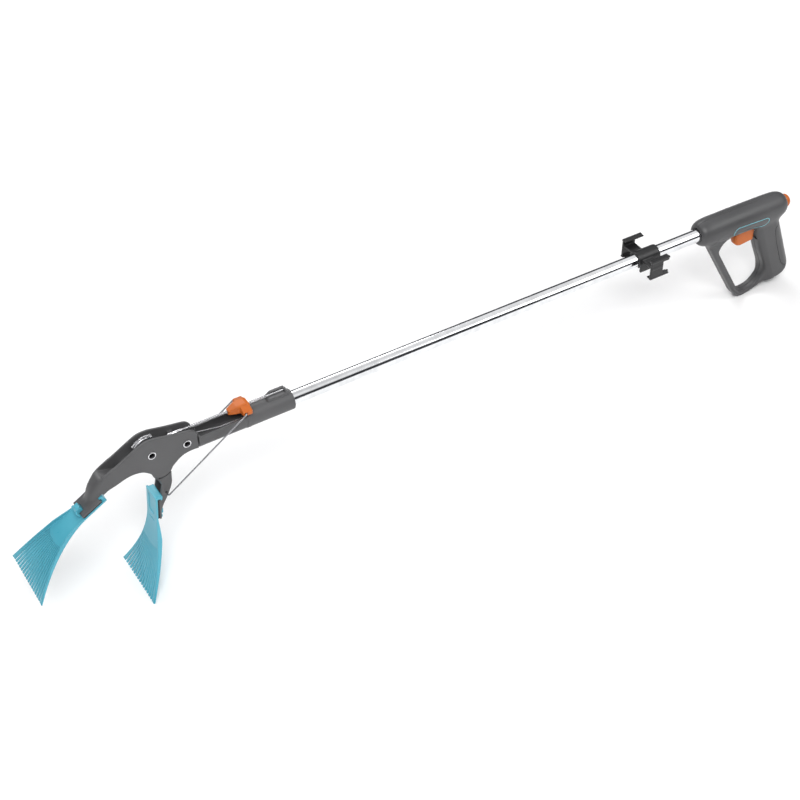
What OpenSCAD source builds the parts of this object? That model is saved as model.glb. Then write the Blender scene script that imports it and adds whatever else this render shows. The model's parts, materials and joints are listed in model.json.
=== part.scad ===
// Long reacher grabber with two clip-on rakes: a tube, a pistol handle with a trigger, and a head with one
// fixed and one moving jaw. Modelled along the tube (X towards the handle), then tipped so that it stands
// on the floor.

/* [Tube] */
// Outer diameter of the tube
tube_d = 18; // [16:1:20]
// Wall thickness of the tube
tube_wall = 1; // [0.8:0.1:1.5]
// Distance from the head's socket mouth to the handle's front end
reach = 601; // [400:1:800]

/* [Head] */
// Half the width of the head over its two cheeks
cheek_y = 10.2; // [9.8:0.1:10.6]
// Thickness of a cheek
cheek_t = 3; // [2.5:0.1:3.2]
// Half the width of the channel
channel_y = 11.2; // [11:0.1:12]
// Wall thickness of the channel
channel_t = 2.4; // [2:0.1:2.6]
// Height of the guide rod's axis above the tube's axis
rod_z = 17.8; // [17:0.1:18.5]
// Groove radius of the cable wheel
wheel_r = 10.5; // [9.5:0.1:10.8]

/* [Rakes] */
// Width of a rake over its tips
rake_w = 89; // [70:1:100]
// Number of tines on a rake
tines = 16; // [10:1:18]
// Thickness of a rake
rake_t = 2.2; // [1.8:0.1:2.6]

/* [Handle] */
// Largest radius of the handle's barrel
barrel_r = 19.2; // [18.8:0.1:20]
// Half the width of the grip
grip_y = 14; // [13:0.5:15]
// Half the width of the hand guard
guard_y = 8; // [7:0.5:9]
// Wall thickness of the handle shells
shell_t = 2.4; // [2:0.1:3]

/* [Holder] */
// Distance from the socket mouth to the near edge of the accessory holder
holder_x = 500; // [60:1:540]

/* [Hidden] */

tube_r = tube_d / 2;
grey = [0.42, 0.43, 0.44];
dark = [0.30, 0.30, 0.31];
black = [0.10, 0.10, 0.11];
orange = [0.90, 0.42, 0.12];
turquoise = [0.30, 0.66, 0.76];
steel = [0.78, 0.79, 0.80];
brass = [0.75, 0.60, 0.30];

// Stance: the whole tool tips about Y so that the rear rake's tips and the handle's foot touch the floor
tilt = 3.3;
stand_x = -202.85;
stand_z = 173.64;

// Moving jaw's pivot and the clamp rivet, in the tool's frame
pivot = [-185.4, 7.3];
clamp = [-142.3, 4.1];
run_gap = 0.05;
rivet_r = 3.2;
rivet_head_r = 5;
rivet_bore_r = 2.4;
rivet_head_t = 0.7;

// Bail: its holes in the slider and in the moving jaw
bail_top = [-68.5, rod_z];
bail_foot = [-175, -55.8];
bail_y = 16;
bail_r = 0.9;

module place() {
    translate([stand_x, 0, stand_z]) rotate([0, tilt, 0]) children();
}

// A 2D outline drawn in the X and Z of the tool, given a width from y0 to y1
module side(y0, y1) {
    translate([0, y1, 0]) rotate([90, 0, 0]) linear_extrude(y1 - y0) children();
}

// A 2D outline drawn in Y and Z, swept along X from x0 to x1
module along(x0, x1) {
    translate([x0, 0, 0]) rotate([90, 0, 90]) linear_extrude(x1 - x0) children();
}

module rod_x(x0, x1, r, z = 0) {
    translate([x0, 0, z]) rotate([0, 90, 0]) cylinder(r = r, h = x1 - x0, $fn = 48);
}

module rod_y(at, r, y0, y1) {
    translate([at[0], y1, at[1]]) rotate([90, 0, 0]) cylinder(r = r, h = y1 - y0, $fn = 48);
}

// Points on an arc, from angle a0 to angle a1
function arc(c, r, a0, a1, n = 8) =
    [for (i = [0:n]) c + r * [cos(a0 + (a1 - a0) * i / n), sin(a0 + (a1 - a0) * i / n)]];

// A smooth open curve through hand-set points
function bend(p, n = 4) = [
    for (i = [0:len(p) - 2]) for (j = [0:n - 1])
        let (t = j / n, a = p[max(i - 1, 0)], b = p[i], c = p[i + 1], d = p[min(i + 2, len(p) - 1)])
        0.5 * (2 * b + (c - a) * t + (2 * a - 5 * b + 4 * c - d) * pow(t, 2)
            + (3 * b - a - 3 * c + d) * pow(t, 3)),
    p[len(p) - 1]];

// ---------------------------------------------------------------- tube and handle

handle_x = reach + 2;
tube_in = 46;
tube_seat = 30;
pin_r = 1.5;
pin_at = [handle_x + 36, 5];

module tube() {
    color(steel) place() difference() {
        rod_x(-tube_seat, handle_x + tube_in, tube_r);
        rod_x(-tube_seat - 1, handle_x + tube_in + 1, tube_r - tube_wall);
        rod_y(pin_at, pin_r, -tube_d, tube_d);
    }
}

barrel_len = 147.5;
barrel_end = handle_x + barrel_len;
button_r = 9.2;
button_out = 6.4;
button_in = 8;
button_bore = 16.6;
bore_r = 15;
collar_len = 5;
collar_t = 1.4;
barrel_profile = concat([[0, 0]], bend([[0, 12.4], [2, 14.8], [6, 17.1], [13, 18.7], [23, barrel_r]]),
    bend([[57, barrel_r], [107, 18.6], [131, 17.9], [139.5, 16.7], [144.5, 14.6], [barrel_len, 11.6]]),
    [[barrel_len, 0]]);
grip_lean = 20.7;
grip_top = [724, -4];

module barrel() {
    translate([handle_x, 0, 0]) rotate([0, 90, 0]) rotate([0, 0, 90])
        rotate_extrude($fn = 64) polygon([for (p = barrel_profile) [p[1], p[0]]]);
}

// Outer line of the loop below the barrel, without its hand hole
loop_outline = concat([[621, -8], [621, -21.5]],
    bend([[668, -103.5], [673, -112], [678.5, -121.5], [686, -130], [695, -133.6], [706, -132.8]]),
    bend([[748.5, -119.2], [758, -117.3], [765.5, -112], [769.4, -103], [768.2, -95.5]]),
    [[740.5, -21.5], [739.5, -8]]);

// The hand hole: straight along the guard, curved up the front of the grip
hole_outline = concat(bend([[664, -18.6], [655, -22.6], [646.6, -28.9], [642.2, -37], [643.6, -43.5]]),
    [[682.3, -111]],
    bend([[684.5, -115.5], [689, -121.5], [697.3, -125.4], [706.6, -125.3], [715.2, -122.6], [721.5, -117.3],
    [727.4, -109.2], [729.3, -99.6], [727.2, -90.1], [721.7, -77.7], [715.5, -63.4], [709, -45], [703, -31],
    [700.5, -21.5]]));

// Grip section: a rounded rectangle swept along the grip's leaning axis
grip_back = 9;
grip_depth = 36.6;
grip_round = 8;
module on_grip() { translate([grip_top[0], 0, grip_top[1]]) rotate([0, -grip_lean, 0]) children(); }
module grip_core() {
    on_grip() translate([grip_back - grip_depth / 2, 0, -160]) linear_extrude(165) union() {
        square([grip_depth, 2 * (grip_y - grip_round)], center = true);
        square([grip_depth - 2 * grip_round, 2 * grip_y], center = true);
        for (x = [-1, 1]) for (y = [-1, 1])
            translate([x * (grip_depth / 2 - grip_round), y * (grip_y - grip_round)])
                circle(r = grip_round, $fn = 32);
    }
}

module handle_body() {
    barrel();
    difference() {
        intersection() {
            side(-20, 20) polygon(loop_outline);
            union() {
                grip_core();
                side(-guard_y, guard_y) polygon(loop_outline);
            }
        }
        side(-21, 21) polygon(hole_outline);
    }
}

screw_at = [[613, -13.4], [653, -12.8], [729.5, -12.6], [757, -103], [687, -123.2], [738, -62]];
screw_r = 1.45;
screw_head_r = 2.8;
screw_head_y = 5.5;
screw_boss_r = 3.6;
trigger_x = [664, 702];
trigger_front = 668.4;
trigger_z = [-43, -12];
trigger_y = 6.5;
trigger_nose = 12;
trigger_travel = 7.6;
trigger_hollow = [24, 4, 5];
trigger_spring_z = -27;

grip_hollow = [[716, -10], [745, -10], [752, -48], [765, -100], [757, -112], [742, -112], [738, -90],
    [726, -58]];
module handle_cavity() {
    // barrel bore, grip hollow, trigger slot, button bore
    rod_x(handle_x + tube_in, barrel_end - button_bore - 3.4, bore_r);
    rod_x(handle_x - 1, handle_x + tube_in + 1, tube_r);
    rod_x(handle_x - 1, handle_x + collar_len, tube_r + collar_t);
    intersection() {
        side(-grip_y + shell_t + 1, grip_y - shell_t - 1) polygon(grip_hollow);
        grip_core();
    }
    slot_y = trigger_y + 0.4;
    slot_x = [trigger_x[0] - 6, trigger_x[1] + trigger_travel + 1];
    translate([slot_x[0], -slot_y, trigger_z[0] - 0.4])
        cube([slot_x[1] - slot_x[0], 2 * slot_y, trigger_z[1] - trigger_z[0] + 6]);
    rod_x(barrel_end - button_bore, barrel_end + 1, button_r + 0.35);
}

module handle_shell(s) {
    difference() {
        intersection() {
            handle_body();
            translate([500, s > 0 ? 0 : -60, -200]) cube([300, 60, 260]);
        }
        difference() {
            handle_cavity();
            for (p = screw_at) rod_y(p, screw_boss_r, -20, 20);
        }
        for (p = screw_at) {
            rod_y(p, screw_r + 0.05, -20, 20);
            if (s > 0) rod_y(p, screw_head_r + 0.3, screw_head_y, 30);
        }
        rod_y(pin_at, pin_r, -12, 12);
        grip_strip_form(0.02);
        badge_form(s, 0.6, 0);
    }
}
module handle_shell_left() { color(dark) place() handle_shell(-1); }
module handle_shell_right() { color(dark) place() handle_shell(1); }

// Soft strip let into the back of the grip
strip_y = 7;
strip_z = [-106, -28];
strip_t = 3;
module grip_strip_form(gap) {
    intersection() {
        handle_body();
        on_grip() translate([grip_back - strip_t - gap, -strip_y - gap, strip_z[0] - gap])
            cube([20, 2 * (strip_y + gap), strip_z[1] - strip_z[0] + 2 * gap]);
    }
}
module grip_strip() { color(black) place() grip_strip_form(0); }

// Pill-shaped outline on both sides of the handle
badge_at = [660, -5.4];
badge_len = 47.5;
badge_tip = -3.2;
badge_r = 7.2;
badge_line = 0.9;
module pill(grow) {
    translate(badge_at) rotate(badge_tip) {
        for (x = [0, badge_len]) translate([x, 0]) circle(r = badge_r + grow, $fn = 32);
        translate([0, -badge_r - grow]) square([badge_len, 2 * (badge_r + grow)]);
    }
}
module badge_form(s, depth, gap) {
    intersection() {
        barrel_skin(depth);
        side(s < 0 ? -30 : 0, s < 0 ? 0 : 30) difference() {
            pill(gap);
            pill(-badge_line - gap);
        }
    }
}
module barrel_skin(depth) {
    difference() {
        barrel();
        rod_x(handle_x + 20, handle_x + 145, barrel_r - depth - 1.2);
    }
}
module badge() { color(turquoise) place() for (s = [-1, 1]) badge_form(s, 0.6, -0.02); }

module handle_screws() {
    color(steel) place() for (p = screw_at) difference() {
        union() {
            rod_y(p, screw_r, -5, screw_head_y + 0.1);
            rod_y(p, screw_head_r, screw_head_y, screw_head_y + 1.9);
        }
        rod_y(p, 1.2, screw_head_y + 1.1, 20);
    }
}

module tube_collar() {
    color(black) place() difference() {
        rod_x(handle_x + 0.6, handle_x + collar_len, tube_r + collar_t - 0.02);
        rod_x(handle_x, handle_x + collar_len + 1, tube_r + 0.02);
    }
}

module tube_pin() { color(steel) place() rod_y(pin_at, pin_r, -12, 12); }

// ---------------------------------------------------------------- trigger and button

// Pocket for the spring and the cable's nipple, open to the back
module trigger_pocket() {
    translate([trigger_x[0] + trigger_hollow[0], -trigger_hollow[1], trigger_z[0] + trigger_hollow[2]])
        cube([30, 2 * trigger_hollow[1], 42]);
}
module trigger() {
    color(orange) place() difference() {
        union() {
            side(-trigger_y, trigger_y) polygon(concat(
                arc([trigger_front, trigger_z[0]] + [trigger_nose, trigger_nose], trigger_nose, 270, 165),
                [[trigger_front + 4, trigger_z[1]], [trigger_x[1], trigger_z[1]],
                [trigger_x[1], trigger_z[0] + 2]]));
            // carriage that runs in the barrel and takes the cable
            translate([trigger_x[0] + 10, -trigger_y, trigger_z[1] - 0.01]) cube([22, 2 * trigger_y, 18]);
        }
        trigger_pocket();
        rod_x(trigger_x[0], trigger_x[1], 1.6);
    }
}

module trigger_spring() {
    span = [trigger_x[0] + trigger_hollow[0] + 0.2, trigger_x[1] + trigger_travel + 0.8];
    color(steel) place() spring_form(span, 3, 0.45, 9, trigger_spring_z);
}
nipple_len = 6.7;
module trigger_nipple() {
    from = trigger_x[0] + trigger_hollow[0] + 0.3;
    color(brass) place() difference() {
        rod_x(from, from + nipple_len, 3);
        rod_x(from - 1, from + nipple_len + 1, cable_r + 0.1);
    }
}

module rear_button() {
    color(orange) place() {
        rod_x(barrel_end - button_in, barrel_end + button_out, button_r);
        translate([barrel_end + button_out, 0, 0]) rotate([0, 90, 0])
            cylinder(r1 = button_r, r2 = 6, h = 2.6, $fn = 48);
    }
}
module button_spring() {
    color(steel) place() spring_form([barrel_end - button_bore + 0.1, barrel_end - button_in - 0.2],
        4, 0.5, 4, 0);
}

// A spring drawn as rings joined by a thin core sleeve
module spring_form(x, r, wire, turns, z) {
    step = (x[1] - x[0] - 2 * wire) / turns;
    translate([0, 0, z]) difference() {
        union() {
            for (i = [0:turns]) translate([x[0] + wire + i * step, 0, 0]) rotate([0, 90, 0])
                rotate_extrude($fn = 32) translate([r, 0]) circle(r = wire, $fn = 16);
            rod_x(x[0] + wire, x[1] - wire, r);
        }
        rod_x(x[0] - 1, x[1] + 1, r - wire * 0.6);
    }
}

// ---------------------------------------------------------------- cable

cable_r = 0.75;
liner_r = 1.7;
liner_x = [-66, -20];
// The cable leaves the tube's axis here and rises to the top of the cable wheel
cable_bend = [-96, 0];
wheel_from = [pivot[0] - cable_bend[0], pivot[1] - cable_bend[1]];
rise = atan2(wheel_from[1], -wheel_from[0]) + asin(wheel_r / norm(wheel_from));
cable_wrap = 100;

// Moves a piece lying along -X from the origin onto the rising stretch of cable
module on_rise() { translate([cable_bend[0], 0, 0]) rotate([0, rise, 0]) mirror([1, 0, 0]) children(); }
rise_len = sqrt(norm(wheel_from) * norm(wheel_from) - wheel_r * wheel_r);

module pull_cable() {
    color(steel) place() {
        rod_x(cable_bend[0], trigger_x[0] + 30, cable_r);
        translate([cable_bend[0], 0, 0]) sphere(r = cable_r, $fn = 24);
        on_rise() rod_x(0, rise_len, cable_r);
        translate([pivot[0], 0, pivot[1]]) rotate([90, 0, 0]) rotate([0, 0, 90.3 - rise])
            rotate_extrude(angle = cable_wrap - 0.3, $fn = 64) translate([wheel_r, 0])
                circle(r = cable_r, $fn = 16);
    }
}

module cable_liner() {
    color(black) place() difference() {
        rod_x(liner_x[0], liner_x[1], liner_r);
        rod_x(liner_x[0] - 1, liner_x[1] + 1, cable_r + 0.05);
    }
}

// ---------------------------------------------------------------- accessory holder

holder_len = 34;
collar_r = tube_r + 2.2;
leg_z = -14;
plate_y = [28, 31];
plate_x = [holder_x + 3, holder_x + 32];
plate_z = 13.5;
flange_y = 23.5;
flange_t = 2;
fork_x = holder_x + 22.5;
module holder_plate_outline() {
    // plate with a forked end, the width of a jaw's foot
    difference() {
        translate([plate_x[0], -plate_z]) square([plate_x[1] - plate_x[0], 2 * plate_z]);
        translate([fork_x, -8.2]) square([20, 16.4]);
        for (z = [-11.6, 9.6]) translate([plate_x[1] - 3, z]) square([4, 2]);
    }
}
module holder_side() {
    // plate, its two flanges, the arm to the collar and the collar's leg, on the left
    side(plate_y[0], plate_y[1]) holder_plate_outline();
    for (z = [-plate_z, plate_z - flange_t]) side(flange_y, plate_y[1])
        translate([plate_x[0], z]) square([plate_x[1] - plate_x[0], flange_t]);
    translate([holder_x + 5, 8, 1]) cube([16, plate_y[1] - 8, 3]);
    translate([holder_x + 3, 8, leg_z]) cube([17, collar_r - 8, -leg_z]);
}
module accessory_holder() {
    color(black) place() difference() {
        union() {
            rod_x(holder_x, holder_x + holder_len, collar_r);
            holder_side();
            mirror([0, 1, 0]) holder_side();
        }
        rod_x(holder_x - 1, holder_x + holder_len + 1, tube_r + run_gap);
        translate([holder_x - 1, -7.4, -40]) cube([holder_len + 2, 14.8, 40]);
    }
}

// ---------------------------------------------------------------- head

module u_section(y, z_low, z_top) {
    circle_z = z_low + y;
    translate([0, circle_z]) circle(r = y, $fn = 48);
    translate([-y, circle_z]) square([2 * y, z_top - circle_z]);
}

wall_top = 8;
socket_r = 12.8;
socket_x = [-66, -4];
pocket_x = -124.5;
block_x = [-36, -9];
fin_top = 20.2;
tongue_y = cheek_y - cheek_t - 0.02;
module head_socket() {
    color(grey) place() difference() {
        union() {
            along(-127.6, socket_x[1]) u_section(channel_y, -13, wall_top);
            rod_x(socket_x[0], socket_x[1], socket_r);
            // fin behind the rod's rear end
            side(-5.4, 5.4) polygon([[block_x[0], 6], [block_x[0], 15], [block_x[0] + 7, fin_top],
                [block_x[1] - 2.5, fin_top], [block_x[1] + 1, 15.6], [block_x[1] + 1, 6]]);
            // tongue clamped between the cheeks
            along(-163, -126) u_section(tongue_y, -9.5, 11);
        }
        rod_x(-tube_seat, 1, tube_r);
        along(pocket_x, socket_x[0]) u_section(channel_y - channel_t, -13 + channel_t, 40);
        along(-180, -120) u_section(4.6, -7.2, 40);
        rod_x(socket_x[0] - 1, block_x[0] - 5, socket_r - 4.4);
        rod_x(socket_x[0] - 1, 0, 6);
        // rod seat, open to the right
        along(block_x[0] - 1, -13) translate([-6, rod_z - 1.1]) square([7.6, 12]);
        rod_y(clamp, rivet_r, -20, 20);
        translate([-19, 0, -20]) cylinder(r = 1.55, h = 15, $fn = 32);
    }
}

module socket_screw() {
    color(steel) place() translate([-19, 0, 0]) {
        translate([0, 0, -13.2]) cylinder(r = 1.5, h = 13.2 - tube_r - 0.05, $fn = 32);
        translate([0, 0, -14.6]) cylinder(r = 2.8, h = 1.6, $fn = 32);
    }
}

// Outline of the fixed jaw: over the top, down to its foot, back along the inside
foot_heel = [-251, -28];
front_lean = 30;
jaw_top = bend([[-128.4, 4], [-129, 14], [-134, 20], [-141, 22.2], [-152, 24], [-166, 26.8], [-181, 30],
    [-194, 29.2], [-209, 21.8], [-226, 12.2], [-246, 3.2], [-255, -4.5], [-262.5, -16], [-268, -34]]);
jaw_inside = bend([[-249.5, -26.5], [-244, -22.5], [-238, -18.8], [-218, -11.8], [-206, -11.2], [-197, -14],
    [-188.5, -21.5], [-184, -28.5], [-178.5, -31.2], [-172, -30.6], [-165.5, -26.5], [-161, -20],
    [-149.5, -11.5], [-138, -9], [-128.4, -9.6]]);
module front_jaw_outline() { polygon(concat(jaw_top, jaw_inside)); }

foot_len = 28;
foot_y = 13.5;
plate_t = 2.5;
pad_t = 2;
heel_hook = 6.6;
foot_toe = foot_heel + foot_len * [-cos(front_lean), -sin(front_lean)];

// Frame of a foot: X runs from heel to toe from its origin at the toe, Z away from the pad into the jaw
module on_front_foot() {
    translate([foot_toe[0], 0, foot_toe[1]]) rotate([0, -front_lean, 0]) mirror([1, 0, 0]) children();
}

module foot_plate() {
    // sole of a jaw, with a fork at its toe
    difference() {
        translate([-foot_len, -foot_y, pad_t]) cube([foot_len, 2 * foot_y, plate_t]);
        translate([-6, -5, -1]) cube([10, 10, 10]);
    }
}
// Clears the pad's side, the toe's fork, and the notch behind the heel that a rake hooks into
module foot_cuts() {
    translate([-34, -30, -30]) cube([64, 60, 30 + pad_t]);
    translate([-6, -5, -1]) cube([10, 10, 22]);
    translate([-34, -30, 0]) cube([34 - foot_len, 60, heel_hook + 0.3]);
    translate([-34, -30, pad_t + plate_t]) cube([34 - foot_len + 1.2, 60, heel_hook + 0.3 - pad_t - plate_t]);
}
module foot_pad() {
    difference() {
        translate([-foot_len + 1, -foot_y + 0.6, 0]) cube([foot_len - 1.6, 2 * foot_y - 1.2, pad_t]);
        translate([-6, -5, -1]) cube([10, 10, 10]);
    }
}

module front_jaw() {
    color(grey) place() difference() {
        union() {
            intersection() {
                side(-cheek_y, cheek_y) front_jaw_outline();
                union() {
                    translate([-262, -20, -60]) cube([150, 40, 120]);
                    on_front_foot() translate([-40, -8.6, 0]) cube([44, 17.2, 60]);
                }
            }
            on_front_foot() foot_plate();
        }
        // slot between the cheeks, but for the bridge under the ferrule
        difference() {
            side(-cheek_y + cheek_t, cheek_y - cheek_t) polygon([[-120, -40], [-190, -40], [-206, -20],
                [-216, -8], [-250, 2], [-252, 8], [-240, 40], [-120, 40]]);
            side(-20, 20) polygon([[-158, rod_z - 1.9], [-152, rod_z - 1.9], [-152, rod_z], [-158, rod_z]]);
        }
        rod_x(-165, -140, ferrule_r, rod_z);
        rod_y(pivot, rivet_r, -20, 20);
        rod_y(clamp, rivet_r, -20, 20);
        on_front_foot() foot_cuts();
    }
}
module front_foot_pad() { color(black) place() on_front_foot() foot_pad(); }

// Hollow rivet with a rolled ring at each end
module rivet(at) {
    difference() {
        union() {
            rod_y(at, rivet_r, -cheek_y - 0.6, cheek_y + 0.6);
            for (side_y = [-cheek_y - rivet_head_t, cheek_y])
                rod_y(at, rivet_head_r, side_y, side_y + rivet_head_t);
        }
        rod_y(at, rivet_bore_r, -20, 20);
    }
}
module pivot_rivet() { color(steel) place() rivet(pivot); }
module clamp_rivet() { color(steel) place() rivet(clamp); }

module pivot_washers() {
    color(steel) place() for (s = [-1, 1]) difference() {
        rod_y(pivot, 6.5, s > 0 ? hub_y + 0.3 : -tongue_y, s > 0 ? tongue_y : -hub_y - 0.3);
        rod_y(pivot, rivet_r, -20, 20);
    }
}

// ---------------------------------------------------------------- moving jaw and cable wheel

hub_y = 6.1;
jaw_y = 9.6;
lobe_r = 40.4;
wheel_y = 3;
rim_r = 18.5;
wheel_spring_r = 20.65;
wheel_spring_half = 2.3;
wheel_spring_turn = [72, 146];
nipple_r = 1.9;
nipple_angle = 90 - rise + cable_wrap + 11;
nipple_at = pivot + wheel_r * [cos(nipple_angle), sin(nipple_angle)];
module cable_wheel() {
    color(grey) place() difference() {
        union() {
            rod_y(pivot, rim_r, -wheel_y, -1);
            rod_y(pivot, rim_r, 1, wheel_y);
            rod_y(pivot, wheel_r - cable_r - 0.05, -wheel_y, wheel_y);
        }
        rod_y(pivot, rivet_r + run_gap, -20, 20);
        rod_y(nipple_at, nipple_r, -1, 1);
    }
}
// Coil spring laid on the wheel's rim, drawn as a plain bent bar
module wheel_spring() {
    color(steel) place() translate([pivot[0], 0, pivot[1]])
        rotate([90, 0, 0]) rotate([0, 0, wheel_spring_turn[0]])
            rotate_extrude(angle = wheel_spring_turn[1] - wheel_spring_turn[0], $fn = 96)
                translate([wheel_spring_r, 0]) circle(r = wheel_spring_half, $fn = 24);
}
module wheel_nipple() { color(brass) place() rod_y(nipple_at, nipple_r, -1, 1); }

rear_lean = 5;
rear_toe = [-191, -89];
module on_rear_foot() {
    translate([rear_toe[0], 0, rear_toe[1]]) rotate([0, 90 + rear_lean, 0]) children();
}

jaw_back = bend([[-162, -16], [-165, -30], [-166.5, -46], [-174, -63], [-180.5, -74], [-186.2, -88.6]]);
jaw_front = [[-189.1, -88.6], [-186.5, -66], [-181.5, -54], [-178.8, -42], [-181, -32], [-184, -16]];
module rear_jaw() {
    color(grey) place() difference() {
        union() {
            // walls below the cheeks, open to the front
            difference() {
                side(-jaw_y, jaw_y) polygon(concat(jaw_back, jaw_front));
                rod_y(pivot, lobe_r + 0.7, -20, 20);
                side(-jaw_y + cheek_t, jaw_y - cheek_t)
                    polygon([[-200, -44], [-172, -44], [-176.5, -62], [-183, -73], [-200, -73]]);
            }
            // neck and hub between the cheeks
            side(-hub_y, hub_y) polygon([[-165.5, -40], [-178, -43], [-186, -30], [-191, 0], [-180, 4],
                [-172, -8]]);
            rod_y(pivot, 9, -hub_y, hub_y);
            intersection() {
                on_rear_foot() foot_plate();
                translate([-300, -30, -120]) cube([300, 60, 80]);
            }
        }
        rod_y(pivot, rim_r + 0.7, -wheel_y, wheel_y);
        rod_y(pivot, rivet_r + run_gap, -20, 20);
        rod_y(bail_foot, bail_r + 0.4, -20, 20);
        on_rear_foot() foot_cuts();
    }
}
module rear_foot_pad() { color(black) place() on_rear_foot() foot_pad(); }

// ---------------------------------------------------------------- guide rod, slider, springs, bail

rod_r = 1;
ferrule_r = 2.2;
module guide_rod() { color(steel) place() rod_x(-158, -13.2, rod_r, rod_z); }
module rod_ferrule() {
    color(steel) place() difference() {
        rod_x(-161, -143.5, ferrule_r, rod_z);
        rod_x(-158, -140, rod_r, rod_z);
    }
}
slider_x = [-85.5, -60];
module rod_spring(x, turns) { color(steel) place() spring_form(x, 1.75, 0.35, turns, rod_z); }
module return_spring() { rod_spring([-143.4, slider_x[0] - 0.1], 22); }
module buffer_spring() { rod_spring([slider_x[1] + 0.3, block_x[0] - 0.1], 9); }

wing_x = [-72, -60];
wing_y = 14.8;
module slider() {
    color(orange) place() difference() {
        union() {
            // slim nose that grows towards the back
            intersection() {
                side(-20, 20) polygon([[slider_x[0], 14.6], [slider_x[0], 20.4], [-76, 24.6], [-64, 25.2],
                    [slider_x[1], 22.5], [slider_x[1], 13.2], [-78, 13.2]]);
                linear_extrude(60) polygon([[slider_x[0], -3.6], [-74, -6.2], [slider_x[1], -6.2],
                    [slider_x[1], 6.2], [-74, 6.2], [slider_x[0], 3.6]]);
            }
            along(wing_x[0], wing_x[1]) polygon([[-wing_y, 14.6], [-11.5, 13.4], [11.5, 13.4], [wing_y, 14.6],
                [wing_y, 19.4], [12, 20.6], [5, 24], [-5, 24], [-12, 20.6], [-wing_y, 19.4]]);
        }
        rod_x(slider_x[0] - 1, slider_x[1] + 1, rod_r + run_gap, rod_z);
        // slots open below that sit over the bail's tips
        for (s = [-1, 1]) translate([bail_top[0] - bail_r - 0.8, s > 0 ? 9 : -20, 5])
            cube([2 * bail_r + 1.6, 11, bail_top[1] + bail_r + 0.1 - 5]);
    }
}

bail_dir = bail_foot - bail_top;
module wire_bail() {
    color(steel) place() {
        for (s = [-1, 1]) {
            translate([bail_top[0], s * bail_y, bail_top[1]])
                rotate([0, atan2(bail_dir[0], bail_dir[1]), 0])
                    cylinder(r = bail_r, h = norm(bail_dir), $fn = 24);
            for (p = [bail_top, bail_foot]) translate([p[0], s * bail_y, p[1]]) sphere(r = bail_r, $fn = 24);
            rod_y(bail_top, bail_r, s > 0 ? 10 : -bail_y, s > 0 ? bail_y : -10);
        }
        rod_y(bail_foot, bail_r, -bail_y, bail_y);
    }
}

// ---------------------------------------------------------------- rakes

fan_len = 100;
comb_from = 40;
fan_bend = 0.0022;
root = -32.4;
rim_t = 2;
rim_rise = 4.2;
slit_t = 1.2;
function fan_half(s) = foot_y + (rake_w / 2 - foot_y) * pow(max(s, 0) / fan_len, 1.6);
// Drop of the fan below the root plate, towards the gripping side
function fan_drop(s) = fan_bend * pow(max(s, 0), 2);
// Height of the stiffening rim along both edges, above the sheet
function rim_height(s) = rim_rise * min(1, max(s, 0) / 30) * (1 - pow(max(s, 0) / fan_len, 2));

// Stations from the root to the tips
along_fan = concat([root], [for (i = [0:10]) i * fan_len / 10]);

module fan_plan(inset) {
    edge = [for (s = along_fan) [s, fan_half(s) - inset]];
    polygon(concat(edge, [for (i = [len(edge) - 1:-1:0]) [edge[i][0], -edge[i][1]]]));
}
// Narrow V between two tines, number i of the rake
module tine_gap(i) {
    f = 2 * i / tines - 1;
    s0 = comb_from + 4.5 * (1 - f * f);
    y0 = f * (fan_half(s0) - 0.9);
    y1 = f * (rake_w / 2 - 1.6);
    polygon([[s0, y0 - 0.3], [s0, y0 + 0.3], [fan_len + 1, y1 + 1.2], [fan_len + 1, y1 - 1.2]]);
}
// Sheet between two heights above its own drooping line
module fan_sheet(low, high) {
    side(-rake_w, rake_w) polygon(concat([for (s = along_fan) [s, high * rim_height(s) - fan_drop(s)]],
        [for (i = [len(along_fan) - 1:-1:0]) [along_fan[i], low - fan_drop(along_fan[i])]]));
}

module rake() {
    difference() {
        union() {
            intersection() {
                fan_sheet(-rake_t, 0);
                translate([0, 0, -60]) linear_extrude(80) difference() {
                    fan_plan(0);
                    for (i = [1:tines - 1]) tine_gap(i);
                }
            }
            intersection() {
                fan_sheet(-rake_t / 2, 1);
                translate([0, 0, -60]) linear_extrude(80) difference() {
                    fan_plan(0);
                    fan_plan(rim_t);
                }
            }
            // wall and lip that catch the foot's heel
            translate([root, -12, -rake_t]) cube([-root - foot_len - 0.6, 24, rake_t + heel_hook]);
            translate([root, -12, pad_t + plate_t + 0.15])
                cube([-root - foot_len + 0.9, 24, heel_hook - pad_t - plate_t - 0.15]);
            // prong through the fork of the foot, and the guard in front of it
            side(-4.5, 4.5) polygon([[-5.6, -0.5], [2, -0.5], [2, 8.5], [-0.5, 10.5], [-5.6, 10.5]]);
            side(-8, 8) polygon([[0.4, -0.5], [4, -0.5], [3.2, 8], [0.4, 8]]);
        }
        // groove below, in front of the guard, that lets the prong flex
        translate([6.4, -7, -20]) cube([slit_t, 14, 19.4]);
    }
}
module front_rake() { color(turquoise) place() on_front_foot() translate([0, 0, -0.02]) rake(); }
module rear_rake() { color(turquoise) place() on_rear_foot() translate([0, 0, -0.02]) rake(); }

tube();
handle_shell_left();
handle_shell_right();
grip_strip();
badge();
handle_screws();
tube_collar();
tube_pin();
trigger();
trigger_spring();
trigger_nipple();
rear_button();
button_spring();
pull_cable();
cable_liner();
accessory_holder();
head_socket();
socket_screw();
front_jaw();
front_foot_pad();
pivot_rivet();
clamp_rivet();
pivot_washers();
cable_wheel();
wheel_nipple();
wheel_spring();
rear_jaw();
rear_foot_pad();
guide_rod();
rod_ferrule();
return_spring();
buffer_spring();
slider();
wire_bail();
front_rake();
rear_rake();
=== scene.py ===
import bpy, json, math
import numpy as np
from mathutils import Vector, Matrix


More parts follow.
